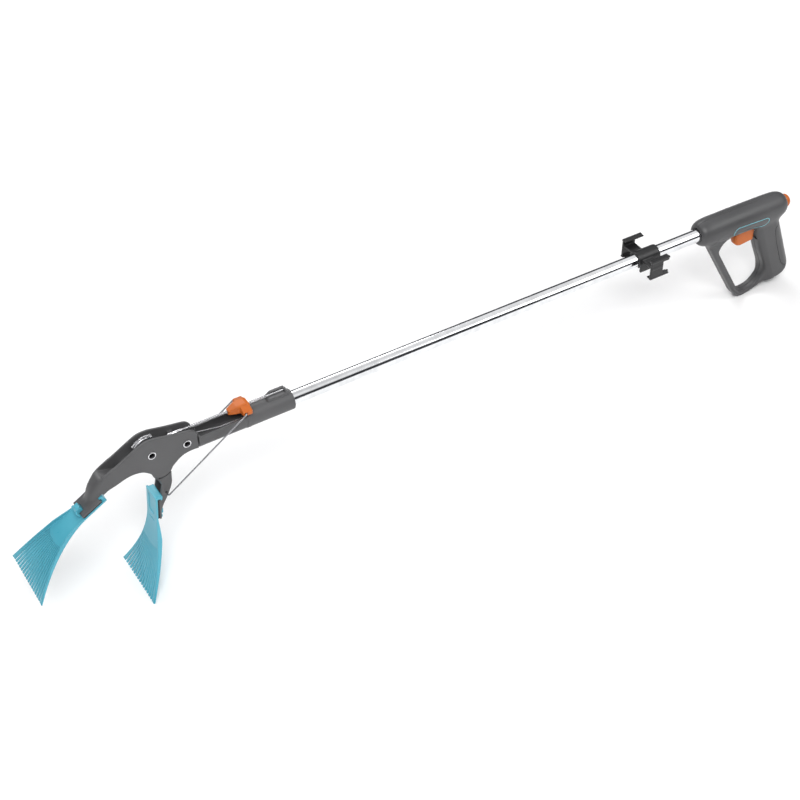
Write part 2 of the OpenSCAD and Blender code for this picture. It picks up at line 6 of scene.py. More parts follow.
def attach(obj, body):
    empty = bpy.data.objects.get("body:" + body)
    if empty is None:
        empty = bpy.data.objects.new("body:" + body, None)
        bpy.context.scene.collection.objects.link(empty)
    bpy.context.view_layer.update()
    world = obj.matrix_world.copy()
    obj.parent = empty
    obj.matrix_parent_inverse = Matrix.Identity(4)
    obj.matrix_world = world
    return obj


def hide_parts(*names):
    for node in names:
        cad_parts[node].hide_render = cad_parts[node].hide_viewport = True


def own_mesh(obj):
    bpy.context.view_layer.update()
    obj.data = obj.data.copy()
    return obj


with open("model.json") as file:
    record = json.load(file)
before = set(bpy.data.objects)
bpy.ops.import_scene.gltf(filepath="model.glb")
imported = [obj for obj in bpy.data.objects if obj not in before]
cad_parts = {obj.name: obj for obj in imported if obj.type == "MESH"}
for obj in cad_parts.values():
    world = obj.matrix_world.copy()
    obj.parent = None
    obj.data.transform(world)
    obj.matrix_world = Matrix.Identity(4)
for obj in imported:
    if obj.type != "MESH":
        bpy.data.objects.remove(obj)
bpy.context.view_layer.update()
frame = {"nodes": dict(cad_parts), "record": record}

JOINTS = {j["name"]: j for j in frame["record"]["behaviour"]["joints"]}

# ---------------------------------------------------------------- the tool's own frame, in millimetres
# X runs along the tube towards the handle from the socket's mouth, Z up, Y across.
AX = np.array(JOINTS["trigger_slide"]["axis"], float)
AX /= np.linalg.norm(AX)
AY = np.array([0.0, 1.0, 0.0])
AZ = np.cross(AX, AY)
ROT = np.stack([AX, AY, AZ], 1)
PIVOT = (-185.4, 7.3)
CLAMP = (-142.3, 4.1)
RIVET_HOLE = 3.2
ORIGIN = np.array(JOINTS["jaw_hinge"]["pos_m"]) * 1000 - ROT @ np.array([PIVOT[0], 0, PIVOT[1]])


def to_row(v):
    return (np.asarray(v, float) @ ROT.T + ORIGIN) / 1000


# ---------------------------------------------------------------- materials
def shader(name, color, rough, metal=0.0):
    """A new material, its node tree and its main shader."""
    m = bpy.data.materials.new(name)
    m.use_nodes = True
    nt = m.node_tree
    b = nt.nodes["Principled BSDF"]
    b.inputs["Base Color"].default_value = (*color, 1)
    b.inputs["Roughness"].default_value = rough
    b.inputs["Metallic"].default_value = metal
    return m, nt, b


def coords(nt, scale=(1, 1, 1), rot=(0, 0, 0)):
    """The piece's own coordinates, stretched and turned."""
    t = nt.nodes.new("ShaderNodeTexCoord")
    mp = nt.nodes.new("ShaderNodeMapping")
    mp.inputs["Scale"].default_value = scale
    mp.inputs["Rotation"].default_value = rot
    nt.links.new(t.outputs["Object"], mp.inputs["Vector"])
    return mp.outputs["Vector"]


def noise(nt, vec, scale, detail=4, rough=0.55):
    n = nt.nodes.new("ShaderNodeTexNoise")
    n.inputs["Scale"].default_value = scale
    n.inputs["Detail"].default_value = detail
    n.inputs["Roughness"].default_value = rough
    nt.links.new(vec, n.inputs["Vector"])
    return n.outputs["Fac"]


def ramp(nt, fac, stops):
    """A colour ramp from (position, colour) stops."""
    r = nt.nodes.new("ShaderNodeValToRGB")
    e = r.color_ramp.elements
    while len(e) < len(stops):
        e.new(0.5)
    for k, (pos, col) in enumerate(stops):
        e[k].position = pos
        e[k].color = (*col, 1)
    nt.links.new(fac, r.inputs["Fac"])
    return r.outputs["Color"]


def remap(nt, fac, lo, hi, from_lo, from_hi):
    """Carries the range from_lo to from_hi over to lo to hi."""
    r = nt.nodes.new("ShaderNodeMapRange")
    r.inputs["From Min"].default_value = from_lo
    r.inputs["From Max"].default_value = from_hi
    r.inputs["To Min"].default_value = lo
    r.inputs["To Max"].default_value = hi
    nt.links.new(fac, r.inputs["Value"])
    return r.outputs["Result"]


def math_node(nt, op, a, b):
    """One step of arithmetic on two sockets or numbers."""
    m = nt.nodes.new("ShaderNodeMath")
    m.operation = op
    for k, v in enumerate((a, b)):
        if isinstance(v, (int, float)):
            m.inputs[k].default_value = v
        else:
            nt.links.new(v, m.inputs[k])
    return m.outputs["Value"]


def mix_over(nt, factor, under, color):
    """Lays one colour over a colour socket, as far as the factor says."""
    mix = nt.nodes.new("ShaderNodeMix")
    mix.data_type = "RGBA"
    nt.links.new(factor, mix.inputs["Factor"])
    nt.links.new(under, mix.inputs["A"])
    mix.inputs["B"].default_value = (*color, 1)
    return mix.outputs["Result"]


def bump(nt, b, height, strength, distance, under=None):
    """Roughens the shader's normal by a height, on top of another bump if there is one."""
    n = nt.nodes.new("ShaderNodeBump")
    n.inputs["Strength"].default_value = strength
    n.inputs["Distance"].default_value = distance
    nt.links.new(height, n.inputs["Height"])
    if under is not None:
        nt.links.new(under, n.inputs["Normal"])
    nt.links.new(n.outputs["Normal"], b.inputs["Normal"])
    return n.outputs["Normal"]


def mould_plastic(name, dark, light, rough, grain, depth):
    """Moulded plastic: fine spark-eroded grain, broad flow shading, painted highlight on the edges and faint
    scuffs.
    """
    m, nt, b = shader(name, light, rough)
    v = coords(nt)
    broad = noise(nt, v, 14, 3)
    fine = noise(nt, v, grain, 2, 0.7)
    scuff = noise(nt, coords(nt, (60, 420, 420), (0.3, 0.5, 0.2)), 3, 5, 0.7)
    base = ramp(nt, broad, [(0.3, dark), (0.72, light)])
    point = nt.nodes.new("ShaderNodeNewGeometry").outputs["Pointiness"]
    # painted highlight: convex edges, found by pointiness, are lightened towards a brighter copy of the
    # light tone
    edge = math_node(nt, "MULTIPLY", remap(nt, point, 0.0, 1.0, 0.53, 0.62), 0.35)
    edge_highlighted = mix_over(nt, edge, base, [min(1, c * 1.9 + 0.02) for c in light])
    # painted shade: grooves and inner corners, found by pointiness, are darkened
    groove = remap(nt, point, 0.75, 0.0, 0.40, 0.487)
    nt.links.new(mix_over(nt, groove, edge_highlighted, [c * 0.3 for c in dark]), b.inputs["Base Color"])
    r = math_node(nt, "ADD", remap(nt, broad, rough - 0.05, rough + 0.06, 0.3, 0.7),
                  remap(nt, scuff, 0.0, 0.10, 0.55, 0.75))
    nt.links.new(r, b.inputs["Roughness"])
    first = bump(nt, b, fine, depth, 0.00012)
    bump(nt, b, scuff, 0.05, 0.0001, first)
    return m


def bright_metal(name, color, rough, scale=1200, depth=0.05, stretch=(1, 1, 1)):
    """Bright metal with fine drawn or turned lines along one direction, and small dull spots."""
    m, nt, b = shader(name, color, rough, 1.0)
    v = coords(nt, stretch, (0, math.asin(AX[2]), 0))
    line = noise(nt, v, scale, 3, 0.6)
    spot = noise(nt, coords(nt), 70, 4, 0.65)
    base = ramp(nt, spot, [(0.32, [c * 0.84 for c in color]), (0.6, color)])
    nt.links.new(base, b.inputs["Base Color"])
    r = math_node(nt, "ADD", remap(nt, line, rough * 0.7, rough * 1.25, 0.3, 0.7),
                  remap(nt, spot, 0.0, 0.06, 0.5, 0.8))
    nt.links.new(r, b.inputs["Roughness"])
    bump(nt, b, line, depth, 0.00005)
    return m


def rubber(name, color, rough=0.75):
    """Matt rubber with a fine grain and a little pale dust."""
    m, nt, b = shader(name, color, rough)
    v = coords(nt)
    dust = noise(nt, v, 35, 5, 0.7)
    grain = noise(nt, v, 1800, 2, 0.6)
    dusty = [c * 1.5 + 0.012 for c in color]
    nt.links.new(ramp(nt, dust, [(0.3, color), (0.8, dusty)]), b.inputs["Base Color"])
    nt.links.new(remap(nt, dust, rough - 0.08, rough + 0.12, 0.3, 0.7), b.inputs["Roughness"])
    bump(nt, b, grain, 0.4, 0.0002)
    return m


def strand(name, color):
    """Twisted wire strand: diagonal lay lines round the cable, with painted shade between the strands."""
    m, nt, b = shader(name, color, 0.32, 1.0)
    w = nt.nodes.new("ShaderNodeTexWave")
    w.wave_type = "BANDS"
    w.bands_direction = "DIAGONAL"
    w.inputs["Scale"].default_value = 260
    w.inputs["Distortion"].default_value = 0.6
    nt.links.new(coords(nt), w.inputs["Vector"])
    # painted shade: the bands between the strands are darkened
    between = [c * 0.35 for c in color]
    nt.links.new(ramp(nt, w.outputs["Fac"], [(0.1, between), (0.6, color)]), b.inputs["Base Color"])
    bump(nt, b, w.outputs["Fac"], 0.5, 0.0002)
    return m


MAT = {
    # painted shade: near-black metal for the rivets' bores
    "bore": bright_metal("rivet_bore_painted_shade", (0.05, 0.05, 0.055), 0.45),
    "bail": bright_metal("bail_wire", (0.40, 0.40, 0.42), 0.26, 1500),
    "tube": bright_metal("tube_metal", (0.86, 0.87, 0.885), 0.10, 1.6, 0.03, (6, 900, 900)),
    "shell": mould_plastic("handle_plastic", (0.056, 0.056, 0.058), (0.074, 0.074, 0.077), 0.42, 2400, 0.30),
    "head": mould_plastic("head_plastic", (0.074, 0.074, 0.076), (0.096, 0.096, 0.099), 0.46, 2300, 0.32),
    "black": mould_plastic("black_plastic", (0.006, 0.006, 0.007), (0.012, 0.012, 0.013), 0.34, 2500, 0.30),
    "orange": mould_plastic("orange_plastic", (0.45, 0.092, 0.004), (0.57, 0.130, 0.007), 0.40, 2800, 0.16),
    "rake": mould_plastic("rake_plastic", (0.066, 0.362, 0.475), (0.102, 0.442, 0.56), 0.30, 1500, 0.14),
    "badge": mould_plastic("badge_plastic", (0.16, 0.46, 0.55), (0.24, 0.60, 0.68), 0.22, 3000, 0.05),
    "rubber": rubber("pad_rubber", (0.018, 0.018, 0.018)),
    "strip": rubber("strip_rubber", (0.028, 0.028, 0.030), 0.66),
    "steel": bright_metal("bright_steel", (0.74, 0.74, 0.76), 0.22),
    "wire": bright_metal("spring_wire", (0.70, 0.70, 0.72), 0.24, 1500),
    "brass": bright_metal("nipple_brass", (0.76, 0.56, 0.25), 0.28),
    "cable": strand("cable_strand", (0.60, 0.60, 0.62)),
    "wheel": mould_plastic("wheel_plastic", (0.040, 0.040, 0.042), (0.060, 0.060, 0.064), 0.30, 2200, 0.10),
}


# ---------------------------------------------------------------- shapes from distance fields
def poly2(px, pz, pts):
    """Signed distance to a closed 2D outline, negative inside."""
    pts = np.asarray(pts, float)
    d = None
    s = None
    for (ax, az), (bx, bz) in zip(pts, np.roll(pts, 1, 0)):
        ex, ez = bx - ax, bz - az
        if ex * ex + ez * ez < 1e-12:
            continue
        wx, wz = px - ax, pz - az
        t = np.clip((wx * ex + wz * ez) / (ex * ex + ez * ez), 0, 1)
        q = (wx - ex * t) ** 2 + (wz - ez * t) ** 2
        c1, c2, c3 = pz >= az, pz < bz, ex * wz > ez * wx
        flip = (c1 & c2 & c3) | (~c1 & ~c2 & ~c3)
        d = q if d is None else np.minimum(d, q)
        s = flip if s is None else s ^ flip
    return np.sqrt(d) * np.where(s, -1.0, 1.0)


def smin(a, b, k):
    """The union of two fields, with a fillet of size k; smax is their overlap, and cut takes b out of a."""
    h = np.maximum(k - np.abs(a - b), 0) / k
    return np.minimum(a, b) - h * h * k / 4


def smax(a, b, k):
    return -smin(-a, -b, k)


def cut(a, b, k=0.4):
    return smax(a, -b, k)


def box3(x, y, z, lo, hi):
    """A box between two corners."""
    return np.maximum(np.maximum(np.abs(x - (lo[0] + hi[0]) / 2) - (hi[0] - lo[0]) / 2,
                                 np.abs(y - (lo[1] + hi[1]) / 2) - (hi[1] - lo[1]) / 2),
                      np.abs(z - (lo[2] + hi[2]) / 2) - (hi[2] - lo[2]) / 2)


def rbox2(u, v, hu, hv, r):
    """A flat rectangle of half sizes hu and hv, with rounded corners."""
    a, b = np.abs(u) - hu + r, np.abs(v) - hv + r
    return np.sqrt(np.maximum(a, 0) ** 2 + np.maximum(b, 0) ** 2) + np.minimum(np.maximum(a, b), 0) - r


def cyl_y(x, z, at, r):
    """A round bar across the tool."""
    return np.sqrt((x - at[0]) ** 2 + (z - at[1]) ** 2) - r


def bend(p, n=5):
    """A smooth open curve through points."""
    p = [np.array(q, float) for q in p]
    out = []
    for i in range(len(p) - 1):
        a, b, c, d = p[max(i - 1, 0)], p[i], p[i + 1], p[min(i + 2, len(p) - 1)]
        for j in range(n):
            t = j / n
            out.append(0.5 * (2 * b + (c - a) * t + (2 * a - 5 * b + 4 * c - d) * t * t
                              + (3 * b - a - 3 * c + d) * t ** 3))
    return [*out, p[-1]]


def surface(f, lo, hi, h, newton=2):
    """Surface nets on a grid of step h, then each point is moved onto the field's zero."""
    ax = [np.arange(lo[k] - 1.5 * h, hi[k] + 2.5 * h, h) for k in range(3)]
    v = f(ax[0][:, None, None], ax[1][None, :, None], ax[2][None, None, :])
    v = np.broadcast_to(v, [len(a) for a in ax]).astype(np.float32)
    ins = v < 0
    n = ins.astype(np.int8)
    tot = sum(n[i:n.shape[0] - 1 + i, j:n.shape[1] - 1 + j, k:n.shape[2] - 1 + k]
              for i in (0, 1) for j in (0, 1) for k in (0, 1))
    act = np.argwhere((tot > 0) & (tot < 8))
    ids = -np.ones(tot.shape, np.int32)
    ids[tuple(act.T)] = np.arange(len(act))
    acc = np.zeros((len(act), 3))
    cnt = np.zeros(len(act))
    for a in range(3):
        o = [(a + 1) % 3, (a + 2) % 3]
        for p in (0, 1):
            for q in (0, 1):
                c0 = act.copy()
                c0[:, o[0]] += p
                c0[:, o[1]] += q
                c1 = c0.copy()
                c1[:, a] += 1
                v0, v1 = v[tuple(c0.T)], v[tuple(c1.T)]
                m = (v0 < 0) != (v1 < 0)
                t = np.where(m, v0 / np.where(m, v0 - v1, 1), 0)
                pt = c0.astype(float)
                pt[:, a] += t
                acc += pt * m[:, None]
                cnt += m
    pts = acc / cnt[:, None]
    V = np.stack([ax[k][0] + pts[:, k] * h for k in range(3)], 1)
    faces = []
    for a in range(3):
        b, c = (a + 1) % 3, (a + 2) % 3
        s0 = [slice(1, -1)] * 3
        s0[a] = slice(0, -1)
        s1 = [slice(1, -1)] * 3
        s1[a] = slice(1, None)
        e = np.argwhere(ins[tuple(s0)] != ins[tuple(s1)])
        for k in range(3):
            e[:, k] += s0[k].start
        up = ins[tuple(e.T)]
        quad = []
        for db, dc in ((-1, -1), (0, -1), (0, 0), (-1, 0)):
            g = e.copy()
            g[:, b] += db
            g[:, c] += dc
            quad.append(ids[tuple(g.T)])
        quad = np.stack(quad, 1)
        quad[~up] = quad[~up][:, ::-1]
        faces.append(quad)
    F = np.concatenate(faces)
    F = F[(F >= 0).all(1)]
    V0 = V.copy()
    for _ in range(newton):
        d = f(V[:, 0], V[:, 1], V[:, 2])
        e = h * 0.05
        g = np.stack([f(V[:, 0] + e * (k == 0), V[:, 1] + e * (k == 1), V[:, 2] + e * (k == 2))
                      - f(V[:, 0] - e * (k == 0), V[:, 1] - e * (k == 1), V[:, 2] - e * (k == 2))
                      for k in range(3)], 1) / (2 * e)
        step = d[:, None] * g / np.maximum((g * g).sum(1), 0.2)[:, None]
        V = V - np.clip(step, -h * 0.6, h * 0.6)
    V = V0 + np.clip(V - V0, -h * 0.75, h * 0.75)
    return V, F


# ---------------------------------------------------------------- objects
COL = bpy.context.scene.collection


def put(name, V, F, mat, body, nodes, slot, sharp=38, keep=1.0):
    """A mesh in the tool's frame becomes a piece that stands for CAD nodes and rides on a body."""
    me = bpy.data.meshes.new(name)
    me.from_pydata(to_row(V).tolist(), [], [list(map(int, f)) for f in F])
    me.validate()
    me.materials.append(mat)
    o = bpy.data.objects.new(name, me)
    COL.objects.link(o)
    if keep < 1:
        d = o.modifiers.new("thin", "DECIMATE")
        d.ratio = keep
        dg = bpy.context.evaluated_depsgraph_get()
        new = bpy.data.meshes.new_from_object(o.evaluated_get(dg))
        o.modifiers.clear()
        o.data = new
        bpy.data.meshes.remove(me)
        me = new
        me.name = name
    me.polygons.foreach_set("use_smooth", [True] * len(me.polygons))
    me.set_sharp_from_angle(angle=math.radians(sharp))
    me.update()
    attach(o, body)
    if nodes:
        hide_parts(*nodes)
    return o


def field(name, f, lo, hi, h, mat, body, node, slot, keep=0.5):
    """A field between two corners becomes a piece, from a grid of step h thinned to keep times its faces."""
    V, F = surface(f, lo, hi, h)
    put(name, V, F, mat, body, [node], slot, keep=keep)


def lathe(profile, axis, at, segs):
    """Revolves (position, radius) points about a line through at, along X for axis 0 or Y for axis 1."""
    p = np.asarray(profile, float)
    t = np.linspace(0, 2 * math.pi, segs, endpoint=False)
    V = np.zeros((len(p), segs, 3))
    u, w = (axis + 1) % 3, (axis + 2) % 3
    V[:, :, axis] = p[:, :1]
    V[:, :, u] = p[:, 1:] * np.cos(t)
    V[:, :, w] = p[:, 1:] * np.sin(t)
    V += np.asarray(at, float)
    n = len(p)
    F = []
    for i in range(n):
        j = (i + 1) % n
        if p[i][1] < 1e-6 and p[j][1] < 1e-6:
            continue
        for k in range(segs):
            m = (k + 1) % segs
            F.append((i * segs + k, i * segs + m, j * segs + m, j * segs + k))
    return V.reshape(-1, 3), F


def weld(V, F, eps=1e-4):
    """Merges points that coincide, and drops faces that collapse."""
    key = np.round(np.asarray(V) / eps).astype(np.int64)
    _, first, inv = np.unique(key, axis=0, return_index=True, return_inverse=True)
    inv = inv.reshape(-1)
    out = []
    for f in F:
        g = []
        for i in f:
            k = int(inv[i])
            if k not in g:
                g.append(k)
        if len(g) > 2:
            out.append(g)
    return np.asarray(V)[first], out


def sweep(path, r, sides):
    """A round wire of radius r along points, closed at both ends."""
    P = np.asarray(path, float)
    n = len(P)
    T = np.gradient(P, axis=0)
    T /= np.linalg.norm(T, axis=1)[:, None]
    ref = np.array([0.0, 1.0, 0.0]) if abs(T[0][1]) < 0.9 else np.array([0.0, 0.0, 1.0])
    u = np.cross(T[0], ref)
    u /= np.linalg.norm(u)
    V = []
    a = np.linspace(0, 2 * math.pi, sides, endpoint=False)
    for i in range(n):
        u = u - T[i] * (u @ T[i])
        u /= np.linalg.norm(u)
        w = np.cross(T[i], u)
        V.append(P[i] + r * (np.cos(a)[:, None] * u + np.sin(a)[:, None] * w))
    V = np.concatenate(V)
    F = [(i * sides + k, i * sides + (k + 1) % sides, (i + 1) * sides + (k + 1) % sides, (i + 1) * sides + k)
         for i in range(n - 1) for k in range(sides)]
    F.append(tuple(range(sides))[::-1])
    F.append(tuple((n - 1) * sides + k for k in range(sides)))
    return V, F


def join(*parts):
    """Several meshes as one."""
    V, F, o = [], [], 0
    for v, f in parts:
        V.append(np.asarray(v))
        F += [tuple(int(i) + o for i in q) for q in f]
        o += len(v)
    return np.concatenate(V), F


def fillet_path(pts, r, n):
    """Rounds the corners of a polyline."""
    P = [np.array(p, float) for p in pts]
    out = [P[0]]
    for a, b, c in zip(P, P[1:], P[2:]):
        d0, d1 = (a - b) / np.linalg.norm(a - b), (c - b) / np.linalg.norm(c - b)
        half = math.acos(np.clip(d0 @ d1, -1, 1)) / 2
        cutlen = min(r / math.tan(half), 0.45 * np.linalg.norm(a - b), 0.45 * np.linalg.norm(c - b))
        s, e = b + d0 * cutlen, b + d1 * cutlen
        for k in range(n + 1):
            t = k / n
            out.append((1 - t) ** 2 * s + 2 * t * (1 - t) * b + t * t * e)
    return [*out, P[-1]]


def helix(x0, x1, r, wire, turns, z, dead=1.2):
    """A compression spring along X from x0 to x1, with closed end turns."""
    steps = int((turns + 2 * dead) * 18)
    s = np.linspace(0, 1, steps)
    n = turns + 2 * dead
    ang = 2 * math.pi * n * s
    k = np.clip((s * n - dead) / turns, 0, 1)
    lead = wire * 2.02
    last = (x1 - x0 - 2 * wire) - (n - s * n) * lead
    open_part = dead * lead + k * (x1 - x0 - 2 * wire - 2 * dead * lead)
    x = np.where(s * n < dead, s * n * lead, np.where(s * n > n - dead, last, open_part))
    P = np.stack([x0 + wire + x, r * np.cos(ang), z + r * np.sin(ang)], 1)
    return sweep(P, wire, 8)


# ---------------------------------------------------------------- handle
HX = 603.0
BARREL = 147.5
PROFILE = np.array([*bend([[0, 12.4], [2, 14.8], [6, 17.1], [13, 18.7], [23, 19.2]]),
                    *bend([[57, 19.2], [107, 18.6], [131, 17.9], [139.5, 16.7], [144.5, 14.6],
                           [BARREL, 11.6]])])
LOOP = [[621, -8], [621, -21.5],
        *bend([[668, -103.5], [673, -112], [678.5, -121.5], [686, -130], [695, -133.6], [706, -132.8]]),
        *bend([[748.5, -119.2], [758, -117.3], [765.5, -112], [769.4, -103], [768.2, -95.5]]),
        [740.5, -21.5], [739.5, -8]]
HOLE = [*bend([[664, -18.6], [655, -22.6], [646.6, -28.9], [642.2, -37], [643.6, -43.5]]),
        [682.3, -111],
        *bend([[684.5, -115.5], [689, -121.5], [697.3, -125.4], [706.6, -125.3], [715.2, -122.6],
               [721.5, -117.3], [727.4, -109.2], [729.3, -99.6], [727.2, -90.1], [721.7, -77.7],
               [715.5, -63.4], [709, -45], [703, -31], [700.5, -21.5]])]
LEAN = math.radians(20.7)
GRIP_TOP = (724.0, -4.0)
SCREWS = [[613, -13.4], [653, -12.8], [729.5, -12.6], [757, -103], [687, -123.2], [738, -62]]
# the pill-shaped outline on both sides: front arc's middle, straight length, radius, tilt, half its line
PILL_AT, PILL_LENGTH, PILL_R, PILL_TILT, PILL_LINE = (660, -5.4), 47.5, 7.2, math.radians(3.2), 0.45
# half the widths of the finger guard and the grip
GUARD_HALF, GRIP_HALF = 7.9, 14


def grip_frame(x, z):
    """Places across and along the leaning grip."""
    dx, dz = x - GRIP_TOP[0], z - GRIP_TOP[1]
    return dx * math.cos(LEAN) + dz * math.sin(LEAN), dz * math.cos(LEAN) - dx * math.sin(LEAN)


def barrel_f(x, r):
    R = np.interp(x - HX, PROFILE[:, 0], PROFILE[:, 1])
    return smax(smax((r - R) * 0.97, HX - x, 1.2), x - HX - BARREL, 1.2)


def pill_f(x, z):
    """Distance to the middle of the pill-shaped line."""
    dx, dz = x - PILL_AT[0], z - PILL_AT[1]
    u = dx * math.cos(PILL_TILT) - dz * math.sin(PILL_TILT)
    w = dx * math.sin(PILL_TILT) + dz * math.cos(PILL_TILT)
    far = np.sqrt(np.maximum(np.maximum(-u, u - PILL_LENGTH), 0) ** 2 + w ** 2)
    return np.abs(far - PILL_R + PILL_LINE)


def near_line(px, pz, pts):
    """Distance to an open line."""
    best = None
    for (ax, az), (bx, bz) in zip(pts, pts[1:]):
        ex, ez = bx - ax, bz - az
        t = np.clip(((px - ax) * ex + (pz - az) * ez) / (ex * ex + ez * ez), 0, 1)
        q = (px - ax - ex * t) ** 2 + (pz - az - ez * t) ** 2
        best = q if best is None else np.minimum(best, q)
    return np.sqrt(best)


# moulded line that sets off the soft back of the grip, along and across the grip
GRIP_LINE = bend([[9, -24], [2, -25.5], [-1.4, -30], [-3.6, -48.6], [-4.2, -72.3], [-4.0, -91.6],
                  [-1.5, -101], [3, -106.5], [9, -108]], 3)


def handle_solid(x, y, z):
    """The whole handle, not yet hollow: barrel, guard and grip round the hand hole."""
    r = np.sqrt(y * y + z * z)
    ol = poly2(x, z, LOOP)
    u, w = grip_frame(x, z)
    guard = smax(ol, np.abs(y) - GUARD_HALF, 4)
    grip = smax(rbox2(u + 9.3, y, 18.3, GRIP_HALF, 8.5), ol, 5)
    d = smin(barrel_f(x, r), smin(guard, grip, 9), 8)
    d = smax(d, -poly2(x, z, HOLE), 3.5)
    return cut(d, np.maximum(near_line(u, w, GRIP_LINE) - 0.5, -d - 0.8), 0.4)


def strip_form(x, y, z, gap=0.0):
    """The soft strip's place down the back of the grip."""
    u, w = grip_frame(x, z)
    return np.maximum(np.maximum(6 - gap - u, np.abs(y) - 7 - gap),
                      np.maximum(w + 28 - gap, -106 - gap - w))


def handle_cavity(x, y, z):
    """Room for the tube, the mechanism, the collar, the button and the trigger, in that order."""
    r = np.sqrt(y * y + z * z)
    c = np.maximum(r - 9.04, x - 650)
    c = np.minimum(c, np.maximum(r - 15, np.maximum(649 - x, x - 730.5)))
    c = np.minimum(c, np.maximum(r - 10.4, x - HX - 5))
    c = np.minimum(c, np.maximum(r - 9.55, 733.9 - x))
    return np.minimum(c, box3(x, y, z, (658, -6.9, -43.4), (710.6, 6.9, -6)))


def shell_field(sign):
    def f(x, y, z):
        whole = handle_solid(x, y, z)
        # each shell rolls over a little at the parting line, which leaves a fine seam
        d = smax(whole, 0.05 - y * sign, 0.8)
        d = cut(d, handle_cavity(x, y, z), 0.5)
        d = cut(d, strip_form(x, y, z, 0.25), 0.4)
        d = cut(d, np.maximum(pill_f(x, z) - 0.5, np.maximum(-whole - 0.7, 8 - np.abs(y))), 0.2)
        if sign > 0:
            for s in SCREWS:
                d = cut(d, np.maximum(cyl_y(x, z, s, 3.1), 5.5 - y), 0.5)
        return d
    return f


for side, sign in (("left", -1), ("right", 1)):
    lo = (HX - 1, -20 if sign < 0 else 0, -135)
    hi = (771, 0 if sign < 0 else 20, 20)
    field("grip_" + side, shell_field(sign), lo, hi, 0.7, MAT["shell"], "tool", "handle_shell_" + side,
          "handle")


def strip_f(x, y, z):
    u, w = grip_frame(x, z)
    ribs = 0.22 * np.cos(w * 2 * math.pi / 3.2) * (np.abs(y) < 5.6)
    return smax(handle_solid(x, y, z) + 0.12 - np.maximum(ribs, 0), strip_form(x, y, z), 0.6)


field("grip_back_strip", strip_f, (726, -8, -112), (771, 8, -24), 0.55, MAT["strip"], "tool", "grip_strip",
      "grip_strip", keep=0.6)


def badge_f(x, y, z):
    skin = handle_solid(x, y, z)
    return smax(pill_f(x, z) - PILL_LINE, np.maximum(skin - 0.12, -skin - 0.6), 0.25)


parts = []
for s in (-1, 1):
    parts.append(surface(badge_f, (651, -20 if s < 0 else 8, -16.5), (716, -8 if s < 0 else 20, 3),
                         0.3))
V, F = join(*parts)
put("side_outline_trim", V, F, MAT["badge"], "tool", ["badge"], "badge")


# the trigger's rounded lower front
NOSE_AT, NOSE_R = (680.4, -31), 12


def trigger_f(x, y, z):
    turns = [math.radians(a) for a in range(270, 160, -7)]
    nose = [[NOSE_AT[0] + NOSE_R * math.cos(a), NOSE_AT[1] + NOSE_R * math.sin(a)] for a in turns]
    side = poly2(x, z, [*nose, [672.4, -12], [702, -12], [702, -41]])
    body = smax(side, rbox2(x - 694.4, y, 26, 6.5, 6.2), 4)
    d = smin(body, box3(x, y, z, (674, -6.5, -14), (696, 6.5, 6)), 1.5)
    d = cut(d, box3(x, y, z, (688, -4, -38), (718, 4, 4)), 0.5)
    return cut(d, np.maximum(np.sqrt(y * y + z * z) - 1.6, x - 700), 0.4)


field("trigger_lever", trigger_f, (663, -7, -44), (707, 7, 7), 0.5, MAT["orange"], "trigger_set",
      "trigger", "trigger", keep=0.45)

profile = [(742.5, 0), (742.5, 8.9), (742.9, 9.2), (755.9, 9.2), (756.9, 8.9), (758.4, 7.9), (759.2, 6.3),
           (759.5, 5.2), (759.2, 4.1), (759.0, 0)]
V, F = lathe(profile, 0, (0, 0, 0), 48)
put("rear_push_button", *weld(V, F), MAT["orange"], "button", ["rear_button"], "button")

profile = [(603.7, 9.06), (603.6, 9.6), (604.0, 10.3), (607.6, 10.32), (607.9, 9.9), (607.9, 9.06)]
V, F = lathe(profile, 0, (0, 0, 0), 64)
put("tube_entry_collar", V, F, MAT["black"], "tool", ["tube_collar"], "collar")

# screws: a domed head with a recess, and a shank
parts = []
profile = [(-5.0, 0.0), (-5.0, 1.1), (-4.6, 1.45), (5.5, 1.45), (5.55, 2.8), (6.2, 2.8), (6.8, 2.5),
           (7.2, 1.9), (7.1, 1.3), (6.5, 1.1), (6.5, 0.0)]
for sx, sz in SCREWS:
    V, F = lathe(profile, 1, (sx, 0, sz), 24)
    parts.append(weld(V, F))
V, F = join(*parts)
put("shell_screws", V, F, MAT["steel"], "tool", ["handle_screws"], "screws")

# ---------------------------------------------------------------- tube and accessory holder
TUBE_ENDS, TUBE_R, TUBE_BORE, CHAMFER = (-30, 649), 9.0, 8.0, 0.25
profile = [(TUBE_ENDS[0], TUBE_BORE), (TUBE_ENDS[0], TUBE_R - CHAMFER), (TUBE_ENDS[0] + CHAMFER, TUBE_R),
           *[(x, TUBE_R) for x in np.linspace(0, 640, 9)],
           (TUBE_ENDS[1] - CHAMFER, TUBE_R), (TUBE_ENDS[1], TUBE_R - CHAMFER), (TUBE_ENDS[1], TUBE_BORE)]
V, F = lathe(profile, 0, (0, 0, 0), 128)
put("bright_tube", V, F, MAT["tube"], "tool", ["tube"], "tube", sharp=30)

# the end of the holder's ring that is nearer the head
HOLD = 500.0


def plate_outline(x, z):
    """One forked plate seen from the side: a wide mouth, and a slit in each prong."""
    d = np.maximum(np.abs(x - HOLD - 17.5) - 14.5, np.abs(z) - 13.5)
    d = cut(d, np.maximum(HOLD + 22.5 - x, np.abs(z) - 8.2), 1.0)
    return cut(d, np.maximum(HOLD + 29 - x, np.abs(np.abs(z) - 10.6) - 1), 0.4)


